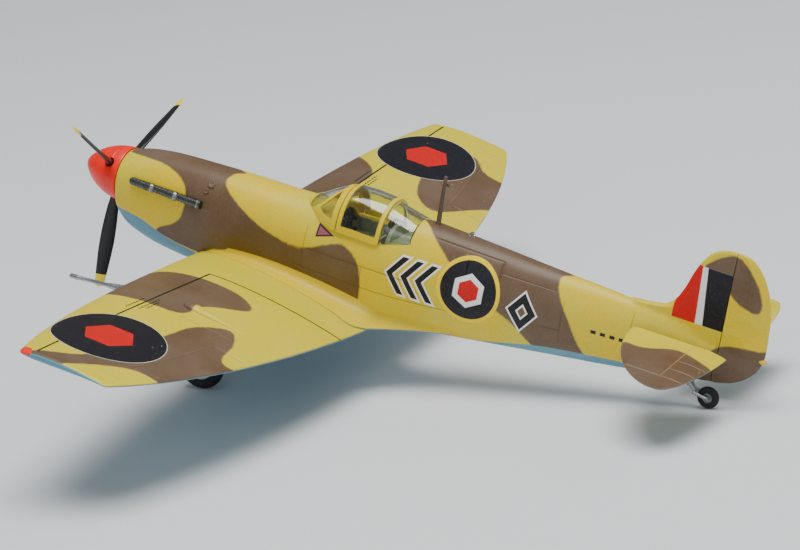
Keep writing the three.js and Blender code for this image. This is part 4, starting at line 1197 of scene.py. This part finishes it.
def blister(side):
    """The teardrop over the cannon's feed, on the wing's upper skin."""
    rings = []
    for t in np.linspace(0.01, 0.995, 34):
        y = 39.4 + 11.6 * t
        swell = min(1, t / 0.16)
        taper = (1 - max(0, t - 0.16) / 0.84) ** 0.75
        width = 1.15 * math.sqrt(swell * (2 - swell)) * taper
        height = 0.8 * width / 1.15
        lead, chord = wing_chord(BLISTER_X)
        phi = np.linspace(0, math.pi, 22)
        x = BLISTER_X + 0.7 * t + width * np.cos(phi)
        floor = wing_height(x, np.clip((y - lead) / chord, 0, 1), 1)
        upper = slice_at(y, x, floor + height * np.sin(phi) - 0.03)
        under = slice_at(y, x, floor - 0.2)
        rings.append(np.concatenate([upper, under[::-1]]))
    return mirrored(loft(rings), side)


DUCT_X = 20.5
DUCT_ROWS = [[41, 0.72], [44, 1], [50, 1], [54, 0.6]]  # y, share of the full depth


def duct_ring(y, half_width, depth, size, inset, fullness):
    phi = np.linspace(0, math.pi, 40)
    x = DUCT_X + (half_width - inset) * power(np.cos(phi), fullness)
    z = -8.2 - (depth * size - inset) * np.sin(phi) ** fullness
    return slice_at(y, x, z)


def duct(side, half_width, depth, fullness):
    """An open duct under the wing: its outer skin, its inner skin and rounded lips."""
    rows = np.linspace(DUCT_ROWS[0][0], DUCT_ROWS[-1][0], 40)
    sizes = along(DUCT_ROWS, rows)[0]
    outer = [duct_ring(y, half_width, depth, s, 0, fullness) for y, s in zip(rows, sizes)]
    inner = [duct_ring(y, half_width, depth, s, 0.45, fullness) for y, s in zip(rows, sizes)]
    count = len(outer[0])
    points = np.concatenate([*outer, *inner])
    shell = grid_faces(len(rows), count)
    inside = [[i + len(rows) * count for i in face][::-1] for face in grid_faces(len(rows), count)]
    faces = shell + inside
    for row in (0, len(rows) - 1):
        a, b = row * count, (row + len(rows)) * count
        faces += [[a + i, a + i + 1, b + i + 1, b + i] for i in range(count - 1)]
    for i in (0, count - 1):
        for row in range(len(rows) - 1):
            a, b = row * count + i, (row + len(rows)) * count + i
            faces.append([a, a + count, b + count, b])
    return mirrored((points, faces), side)


def matrix(side, half_width, depth, fullness):
    rings = [duct_ring(y, half_width, depth, 1, 0.4, fullness) for y in (46.5, 47.5)]
    return mirrored(loft(rings), side)


def lathed_wheel(wheel, profile, segments=96):
    return turned(profile, (wheel["x"], wheel["y"], wheel["z"]), "x", segments)


def tyre_profile(wheel):
    """A tyre's section: rounded shoulders and shallow tread grooves."""
    radius, half, rim = wheel["radius"] + 0.02, wheel["width"] / 2, wheel["rim"] + 0.03
    turn = np.linspace(-0.5 * math.pi, 0.5 * math.pi, 49)
    across = half * power(np.sin(turn), 0.9)
    out = rim + (radius - rim) * np.abs(np.cos(turn)) ** 0.42
    step = wheel["width"] / 7
    grooves = 0.06 * (np.abs((across / step + 0.5) % 1 - 0.5) < 0.13) * (np.abs(across) < half * 0.62)
    rows = [(r, a) for r, a in zip(out - grooves, across)]
    return [*rows, (rim, half * 0.8), (rim, -half * 0.8)]


def hub_profile(wheel, bore):
    half, rim = wheel["width"] / 2 * 0.8, wheel["rim"]
    side = [(bore, half), (bore + 0.12, half + 0.02), (rim * 0.42, half), (rim * 0.5, half * 0.9),
            (rim * 0.56, half * 0.62), (rim * 0.84, half * 0.58), (rim * 0.9, half * 0.95), (rim, half)]
    return [(r, -a) for r, a in side] + [(r, a) for r, a in reversed(side)]


def hub_holes(wheel, count=5):
    """Lightening holes that go part of the way into a hub."""
    holes = []
    for i in range(count):
        turn = 2 * math.pi * i / count
        y = wheel["y"] + 0.7 * wheel["rim"] * math.cos(turn)
        z = wheel["z"] + 0.7 * wheel["rim"] * math.sin(turn)
        x = wheel["x"]
        face = wheel["width"] / 2
        for end in (-1, 1):
            holes.append(bar((x + end * 0.3 * face, y, z), (x + end * face, y, z), [(0, 0.3), (1, 0.3)], 20))
    return holes


LEG = {"top": (9.1, 34.4, -10.2), "foot": (10.5, 33.3, -23.3)}


def main_leg(side):
    """A cylinder, its piston, the torque links in front and the stub axle."""
    top, foot = np.array(LEG["top"]), np.array(LEG["foot"])
    knee = (top + foot) / 2
    cylinder = bar(top, knee, [(0, 0.68), (0.04, 0.68), (0.05, 0.64), (0.9, 0.62), (0.91, 0.7),
                               (0.99, 0.7), (1, 0.64)])
    piston = bar(knee + 0.02 * (top - foot), foot, [(0, 0.46), (0.9, 0.46), (0.92, 0.58), (1.0, 0.58),
                                                    (1.03, 0.4)])
    axle = bar((foot[0] - 0.6, foot[1], foot[2]), (13.1, foot[1], foot[2]),
               [(0, 0.3), (0.02, 0.45), (0.98, 0.45), (1, 0.34)])
    shapes = [cylinder, piston, axle]
    hinge = knee + 0.35 * (foot - knee) + [0, -1.35, 0]
    for end in (knee + [0, -0.55, 0.2], foot + [0, -0.3, 0.7]):
        for offset in (-0.22, 0.22):
            shapes.append(tube([end + [offset, 0, 0], hinge + [offset, 0, 0]], [0.16, 0.13], 16))
    shapes.append(bar(hinge - [0.42, 0, 0], hinge + [0.42, 0, 0], [(0, 0.18), (1, 0.18)], 16))
    return [mirrored(shape, side) for shape in shapes]


def door_outline():
    """Outline of a leg door, as across and down from its hinge end."""
    turn = np.linspace(0.7, -0.5, 24)
    arc = [(3.4 * math.cos(a), -12.2 + 3.4 * math.sin(a)) for a in turn]
    return [(-2.1, 0), (2.3, 0), (2.6, -8.4), *arc, (1.4, -14.6), (-1.4, -14.6), (-2.6, -12)]


def leg_door(side):
    top, foot = LEG["top"], LEG["foot"]
    splay = math.atan2(foot[0] - top[0], top[2] - foot[2])
    rings = []
    for depth, inset in ((0, 0.08), (0.08, 0), (0.32, 0), (0.4, 0.08)):
        outline = np.array(door_outline())
        centre = np.array([0, -7.3])
        shrunk = centre + (outline - centre) * (1 - inset / 5)
        bow = 0.25 * (shrunk[:, 0] / 3.4) ** 2
        x, y, z = depth + bow * 0.2, shrunk[:, 0], shrunk[:, 1]
        x_turned = x * math.cos(splay) - z * math.sin(splay)
        z_turned = x * math.sin(splay) + z * math.cos(splay)
        ring = np.stack([x_turned + top[0] - 1.6, y + top[1] - 0.5, z_turned + top[2] - 0.1], -1)
        rings.append(ring)
    return mirrored(loft(rings), side)


def tail_leg():
    crown, wheel = np.array([0, 115.3, -4.1]), np.array([0, TAIL_WHEEL["y"], TAIL_WHEEL["z"]])
    shapes = [bar((0, 112.5, -1.2), crown, [(0, 0.6), (0.55, 0.58), (0.56, 0.68), (0.66, 0.68),
                                            (0.67, 0.5), (1, 0.5)])]
    for middle, reach, edge, radius in ((crown, 0.95, 0.05, 0.32), (wheel, 0.98, 0.04, 0.3)):
        out = np.array([reach, 0, 0])
        profile = [(0, 0.22), (edge, radius), (1 - edge, radius), (1, 0.22)]
        shapes.append(bar(middle - out, middle + out, profile))
    for side in (-0.85, 0.85):
        shapes.append(tube([crown + [side, 0, 0], wheel + [side, 0, 0]], [0.27, 0.25], 20))
    return shapes


# ---------------------------------------------------------------- cockpit
def side_wall(side):
    """A cockpit wall that follows the inside of the fuselage, with a shelf and ribs."""
    rings = []
    for y in np.arange(50.2, 59.3, 0.3):
        z = np.linspace(-3.6, 4.5, 16)
        rib = 0.12 * (np.abs((y - 50.2) % 2.1 - 1.05) < 0.16)
        outer = body_half_width(np.full_like(z, y), z) - 1.0
        inner = outer - 0.2 - rib - 0.35 * (np.abs(z - 1.2) < 0.5)
        rings.append(np.concatenate([slice_at(y, outer, z), slice_at(y, inner, z)[::-1]]))
    return mirrored(loft(rings), side)


def inside_plate(y0, y1, low, high, half_width, steps=24):
    """A plate across the fuselage, cut to fit inside its walls."""
    z = np.linspace(low, high, steps)
    rings = []
    for y in (y0, y1):
        fit = np.maximum(np.minimum(body_half_width(np.full_like(z, y), z) - 1.02, half_width), 0.2)
        rings.append(both_sides(slice_at(y, fit, z)))
    return loft(rings)


def rounded_bulkhead(y0, y1, low, high, half_width):
    z = low + (high - low) * np.sin(np.linspace(0, math.pi / 2, 24))
    rings = []
    for y in (y0, y1):
        crown = np.sqrt(np.clip(1 - (np.clip(z - 3.4, 0, None) / (high - 3.35)) ** 2, 0.001, 1))
        room = body_half_width(np.full_like(z, y), np.minimum(z, 4)) - 1.02
        fit = np.maximum(np.minimum(room, half_width), 0.2)
        rings.append(both_sides(slice_at(y, fit * crown, z)))
    return loft(rings)


def rear_deck():
    """The shelf under the rear glazing."""
    rings = []
    for y in np.linspace(60, 64, 9):
        top = 4.55 + (y - 60) * 0.38
        across = np.linspace(-1, 1, 16) * (body_half_width(np.array(y), np.array(top)) - 0.5)
        upper = slice_at(y, across, top + 0.25 * np.cos(across / 5 * math.pi / 2))
        rings.append(np.concatenate([upper, upper[::-1] - [0, 0, 0.3]]))
    return loft(rings)


def seat():
    pan = box(-1.9, 1.9, 53.6, 57.4, -2, -1.6)
    back = box(-1.9, 1.9, 57.2, 57.6, -2, 4.2)
    cheeks = [box(x, x + 0.3, 53.8, 57.4, -1.7, 0.3) for x in (-1.9, 1.6)]
    pedestal = box(-1.2, 1.2, 54.6, 56.8, -3.35, -1.9)
    return joined(pan, back, *cheeks, pedestal)


def belts():
    shoulder = [box(x, x + 0.5, 56.98, 57.18, -0.4, 4.35) for x in (-1.15, 0.65)]
    lap = [box(x, x + 1.3, 55.2, 55.75, -1.6, -1.42) for x in (-1.45, 0.15)]
    return joined(*shoulder, *lap)


def stick():
    turn = np.linspace(0, 2 * math.pi, 33)[:-1]
    column = tube([(0, 53.2, -3.35), (0, 52.8, -1), (0, 52.4, 1.25)], [0.3, 0.24, 0.2], 20)
    ring_path = np.stack([0.6 * np.cos(turn), 52.35 - 0.1 * np.sin(turn), 1.8 + 0.6 * np.sin(turn)], -1)
    grip = ring_of(ring_path, 0.2)
    return joined(column, grip)


def ring_of(path, radius, sides=12):
    """A closed ring of round bar."""
    tangents = np.roll(path, -1, 0) - np.roll(path, 1, 0)
    centre = path.mean(0)
    rings = []
    for point, tangent in zip(path, tangents):
        tangent = tangent / np.linalg.norm(tangent)
        u = point - centre
        u /= np.linalg.norm(u)
        v = np.cross(tangent, u)
        turn = np.linspace(0, 2 * math.pi, sides, endpoint=False)[:, None]
        rings.append(point + radius * (np.cos(turn) * u + np.sin(turn) * v))
    rings = np.array(rings)
    count = len(path)
    faces = grid_faces(count, sides, wrap=True)
    for i in range(sides):
        a, b = (count - 1) * sides + i, (count - 1) * sides + (i + 1) % sides
        faces.append([a, b, (i + 1) % sides, i])
    return rings.reshape(-1, 3), faces


# ---------------------------------------------------------------- putting it together
def ungrooved(p):
    return np.zeros(len(p))


BARE = {"camo": nowhere, "underside": nowhere, "groove": ungrooved}
BODY = {"camo": body_camo, "underside": body_underside, "groove": groove_of}
SMOOTH_BODY = {**BODY, "groove": ungrooved}
FIN_FIELDS = {**BARE, "camo": body_camo}
WING_FIELDS = {**BARE, "camo": wing_camo}


def skin(name, shape, material, node, fields, crease=50):
    """A painted outer surface of the airframe."""
    piece(name, shape, material, replaces=[node], fields=fields, crease=crease)


def build_fuselage():
    cutters = [opening(), shaft_hole()]
    for name, side in SIDES.items():
        node = f"fuselage_{name}_half"
        skin(f"hull_{name}", carved(mesh_of(name, hull_half(side)), cutters), body_paint, node, BODY)
        skin(f"fin_{name}", fin_half(side), fin_paint, node, FIN_FIELDS)
        skin(f"fillet_{name}", fillet(side), sand_paint, node, {**BARE, "underside": fillet_underside})
    skin("rudder_surface", rudder(), fin_paint, "rudder", FIN_FIELDS)
    skin("chin_cowling", chin(), sand_paint, "chin_cowl", SMOOTH_BODY)


def build_wing():
    for name, side in SIDES.items():
        node = f"wing_upper_{name}"
        skin(f"wing_top_{name}", mirrored(wing_skin(1, 3), side), wing_paint, node,
             {**WING_FIELDS, "groove": wing_groove(1)})
        skin(f"cannon_blister_{name}", blister(side), wing_paint, node, WING_FIELDS, crease=60)
    fields = {"camo": nowhere, "underside": lambda p: -nowhere(p), "groove": wing_groove(-1)}
    lower = carved(mesh_of("lower", mirrored(wing_skin(-1, 0.02), -1)), wheel_well(-1))
    for name, mesh in (("left", reflected(lower)), ("right", lower)):
        skin(f"wing_bottom_{name}", mesh, sand_paint, "wing_lower", fields)


def build_tailplanes():
    for name, side in SIDES.items():
        shape = tailplane(side, TAIL_SPAN[name], TAIL_SWEEP[name], TAIL_TILT[name])
        plane = carved(mesh_of(name, shape), [elevator_gap()])
        fields = {"camo": tailplane_camo, "groove": tailplane_groove(TAIL_SPAN[name], TAIL_SWEEP[name]),
                  "underside": tailplane_underside(TAIL_TILT[name])}
        skin(f"tailplane_surface_{name}", plane, tail_paint, f"tailplane_{name}", fields)


def build_propeller():
    holes = [blade_cuff(angle, 0.86, 8) for angle in BLADE_ANGLES]
    shell = carved(mesh_of("spinner", spinner_shell()), holes)
    piece("spinner_shell", shell, bare_spinner.material, "propeller", ["spinner"],
          crease=40)
    plate = turned([(1.2, 8.3), (3.4, 8.3), (3.5, 8.38), (3.5, 8.54), (3.4, 8.6), (1.2, 8.6)], (0, 0, 0), "y")
    piece("back_plate", plate, black.material, "propeller", ["spinner_back_plate"])
    hub = turned([(1.2, 4.6), (1.9, 4.6), (2.1, 4.8), (2.1, 7.9), (1.9, 8.1), (1.2, 8.1)], (0, 0, 0), "y")
    piece("hub", hub, black.material, "propeller", ["propeller_hub"])
    for i, angle in enumerate(BLADE_ANGLES, 1):
        piece(f"blade_{i}", blade(angle), blade_paint, "propeller", [f"propeller_blade_{i}"],
              crease=60)


def framing(frames, body, node):
    """Painted strips proud of the glass; each runs between two stations and two angles."""
    for name, (start, end, low, high) in frames.items():
        strip = canopy_patch(start, end, low, high, PROUD, INNER_FACE, 40)
        piece(name, strip, sand_paint, body, [node], fields=BARE)


def build_canopy():
    screen = canopy_patch(44.1, ARCH_Y - 0.15, 1, 179, 0, GLASS, 64)
    piece("windscreen_glass", screen, glass, replaces=["windscreen"], crease=50)
    frames = {
        "windscreen_arch": (49.9, ARCH_Y - 0.16, 0, 180),
        "windscreen_sill_left": (43.8, ARCH_Y - 0.16, 0, sill_edge),
        "windscreen_sill_right": (43.8, ARCH_Y - 0.16, lambda y: 180 - sill_edge(y), 180),
        "windscreen_pillar_left": (45.4, 50.1, lambda y: pillar(y) - 5, lambda y: pillar(y) + 5),
        "windscreen_pillar_right": (45.4, 50.1, lambda y: 175 - pillar(y), lambda y: 185 - pillar(y)),
        "windscreen_foot": (43.7, 44.7, 2, 178),
    }
    framing(frames, "airframe", "windscreen")
    hood = canopy_patch(ARCH_Y + 0.04, HOOD_END - 0.04, 0, 180, 0, GLASS, 72)
    piece("hood_glass", hood, glass, "hood", ["sliding_hood"], crease=50)
    hood_frames = {
        "hood_front_arch": (ARCH_Y, ARCH_Y + 0.75, 0, 180),
        "hood_rear_arch": (HOOD_END - 0.7, HOOD_END, 0, 180),
        "hood_rail_left": (ARCH_Y, HOOD_END, 0, 8.5),
        "hood_rail_right": (ARCH_Y, HOOD_END, 171.5, 180),
    }
    framing(hood_frames, "hood", "sliding_hood")
    rear = canopy_patch(HOOD_END + 0.15, 64.1, 0, 180, 0.55, 0.85, 64)
    piece("rear_glass", rear, glass, replaces=["rear_glazing"], crease=50)


def build_cockpit():
    floor = box(-3.9, 3.9, 46, 60.2, -4.1, -3.4)
    piece("floor", floor, cockpit_green.material, replaces=["cockpit_floor"], bevel=0.1)
    for name, side in SIDES.items():
        piece(f"cockpit_wall_{name}", side_wall(side), cockpit_green.material,
              replaces=["cockpit_floor"], crease=30)
    bulkhead = rounded_bulkhead(59.3, 60, -3.3, 7, 3.7)
    piece("bulkhead", bulkhead, cockpit_green.material, replaces=["seat_bulkhead"],
          bevel=0.08)
    panel = inside_plate(49.1, 49.7, -1.5, 6.4, 3.6)
    piece("panel", panel, dials, replaces=["instrument_panel"], bevel=0.06)
    piece("seat", seat(), cockpit_green.material, replaces=["pilot_seat"], bevel=0.1)
    piece("seat_belts", belts(), belt_tan.material, replaces=["pilot_seat"],
          bevel=0.05)
    piece("rear_deck", rear_deck(), cockpit_green.material, replaces=["seat_bulkhead"])
    pad = box(-1.3, 1.3, 58.35, 59.2, 4.8, 7.6)
    piece("head_pad", pad, leather.material, replaces=["head_rest"], bevel=0.3)
    piece("stick", stick(), black.material, replaces=["control_column"])
    sight = joined(box(-0.6, 0.6, 49.2, 50.2, 7.9, 8.7), box(-0.45, 0.45, 49.4, 49.6, 8.6, 9.7))
    piece("sight", sight, black.material, replaces=["gunsight"], bevel=0.06)


def cowl_button(side, y, z, radius):
    """A small ring-shaped button on the engine cowling."""
    x = float(body_half_width(np.array(y), np.array(z)))
    out = np.array([x / 5.4, 0, z / 7]) / math.hypot(x / 5.4, z / 7)
    foot = np.array([x, y, z]) - 0.3 * out
    shares = [(0, 1), (0.75, 1), (0.93, 0.9), (1, 0.7), (0.94, 0.5), (0.8, 0.4)]
    profile = [(height, radius * share) for height, share in shares]
    return mirrored(bar(foot, foot + 0.5 * out, profile, 28), side)


def build_fittings():
    tail_lamp = bar((0, 124.6, 4.3), (0, 125.9, 4.3), [(0, 0.3), (0.5, 0.42), (0.85, 0.36), (1, 0.14)], 24)
    skin("tail_lamp", tail_lamp, sand_paint, "rudder", BARE, crease=40)
    for name, side in SIDES.items():
        buttons = joined(cowl_button(side, 26.5, 4.9, 0.68), cowl_button(side, 26, 3.7, 0.45))
        skin(f"cowl_buttons_{name}", buttons, body_paint, f"fuselage_{name}_half", SMOOTH_BODY, crease=40)
        piece(f"exhaust_pipes_{name}", exhaust(side), exhaust_metal, replaces=[f"exhaust_{name}"],
              fields={"bright": exhaust_bright})
        gun = carved(mesh_of("gun", cannon(side)), [muzzle_bore(side)])
        piece(f"gun_{name}", gun, gun_metal.material, replaces=[f"cannon_{name}"])
    for name, side, half_width, depth, fullness, node in (
            ("radiator", -1, 3.8, 4.8, 0.45, "radiator_housing"),
            ("oil_cooler", 1, 2.3, 4.9, 1, "oil_cooler_housing")):
        piece(f"{name}_duct", duct(side, half_width, depth, fullness), under_blue.material,
              replaces=[node], crease=50)
        piece(f"{name}_core", matrix(side, half_width, depth, fullness), grille,
              replaces=[node])
    top = float(wing_height(50.0, 0.2, -1)) - 0.1
    stem = bar((50, 36, top + 0.4), (50, 35.6, top - 2.2), [(0, 0.34), (0.2, 0.3), (1, 0.24)], 24)
    head = tube([(50, y, top - 2.2) for y in (35.9, 35.8, 35.2, 33.2, 32.1, 32)],
                [0.14, 0.25, 0.26, 0.24, 0.17, 0.08], 24)
    piece("pitot_head", joined(stem, head), steel.material, replaces=["pitot_tube"])
    mast = tube([(0, 66.7, z) for z in (9.1, 9.4, 9.7, 12, 15, 17.6, 17.75, 17.8)],
                [0.6, 0.55, 0.42, 0.38, 0.33, 0.28, 0.2, 0.08], 24)
    lug = box(-0.15, 0.15, 66.7, 67.6, 16.1, 16.6)
    piece("mast", joined(mast, lug), mast_brown.material, replaces=["aerial_mast"],
          crease=45)
    lamp = turned([(0.003, 9.1), (0.5, 9.1), (0.5, 9.35), (0.45, 9.58), (0.32, 9.74), (0.16, 9.82),
                   (0.003, 9.84)], (0, 72.9, 0), "z", 40)
    piece("lamp", lamp, glass, replaces=["identification_light"])


def build_undercarriage():
    for name, side in SIDES.items():
        body = f"{name}_wheel"
        wheel = {**MAIN_WHEEL, "x": side * MAIN_WHEEL["x"]}
        piece(f"leg_{name}", joined(*main_leg(side)), silver.material,
              replaces=[f"main_leg_{name}"])
        piece(f"door_{name}", leg_door(side), under_blue.material,
              replaces=[f"leg_door_{name}"])
        hub = carved(mesh_of("hub", lathed_wheel(wheel, hub_profile(wheel, 0.5))), hub_holes(wheel))
        piece(f"wheel_hub_{name}", hub, silver.material, body, [f"main_hub_{name}"])
        piece(f"wheel_tyre_{name}", lathed_wheel(wheel, tyre_profile(wheel)), rubber.material, body,
              [f"main_tyre_{name}"])
    piece("tail_fork", joined(*tail_leg()), silver.material, replaces=["tail_leg"])
    piece("tail_wheel_hub", lathed_wheel(TAIL_WHEEL, hub_profile(TAIL_WHEEL, 0.34), 64), silver.material,
          "tail_wheel", ["tail_hub"])
    piece("tail_wheel_tyre", lathed_wheel(TAIL_WHEEL, tyre_profile(TAIL_WHEEL), 72), rubber.material,
          "tail_wheel", ["tail_tyre"])


build_fuselage()
build_wing()
build_tailplanes()
build_propeller()
build_canopy()
build_cockpit()
build_fittings()
build_undercarriage()


# ---------------------------------------------------------------- stage
def floor_and_light():
    bpy.ops.mesh.primitive_plane_add(size=3, location=(0, 0, -0.00005))
    ground = bpy.context.object
    ground.name = "floor"
    paper = Shader("pale floor", Roughness=0.85)
    paper.to("Base Color", tint(226, 228, 230))
    ground.data.materials.append(paper.material)
    for name, offset, energy, size in (
            ("softbox", (0.1, 0.1, 0.8), 8.0, 0.5), ("fill", (0.9, 0.1, 0.35), 1.6, 0.5),
            ("rim", (-0.8, 0.4, 0.6), 1.6, 0.5)):
        lamp = bpy.data.lights.new(name, "AREA")
        lamp.energy = energy
        lamp.size = size
        holder = bpy.data.objects.new(name, lamp)
        holder.location = offset
        holder.rotation_euler = (-Vector(offset)).to_track_quat("-Z", "Y").to_euler()
        bpy.context.scene.collection.objects.link(holder)
    world = bpy.data.worlds.new("soft surroundings")
    world.use_nodes = True
    world.node_tree.nodes["Background"].inputs[0].default_value = (0.93, 0.96, 1, 1)
    world.node_tree.nodes["Background"].inputs[1].default_value = 0.22
    bpy.context.scene.world = world


def camera():
    """Three-quarter rear view from the port side, a little above."""
    azimuth, elevation, roll = (math.radians(VIEW[key]) for key in ("azimuth", "elevation", "roll"))
    level_out = math.cos(elevation)
    back = np.array([math.sin(azimuth) * level_out, math.cos(azimuth) * level_out, math.sin(elevation)])
    across = np.array([-math.cos(azimuth), math.sin(azimuth), 0])
    above = np.cross(back, across)
    right = across * math.cos(roll) - above * math.sin(roll)
    up = above * math.cos(roll) + across * math.sin(roll)
    data = bpy.data.cameras.new("camera")
    data.lens = VIEW["lens"]
    data.sensor_width = 36
    data.shift_y = -0.0025
    data.clip_start = 0.01
    thing = bpy.data.objects.new("camera", data)
    turn = np.column_stack([right, up, back])
    eye = place(VIEW["aim"]) + MM * VIEW["distance"] * back
    thing.matrix_world = Matrix.Translation(eye) @ Matrix(turn.tolist()).to_4x4()
    bpy.context.scene.collection.objects.link(thing)
    bpy.context.scene.camera = thing


floor_and_light()
camera()
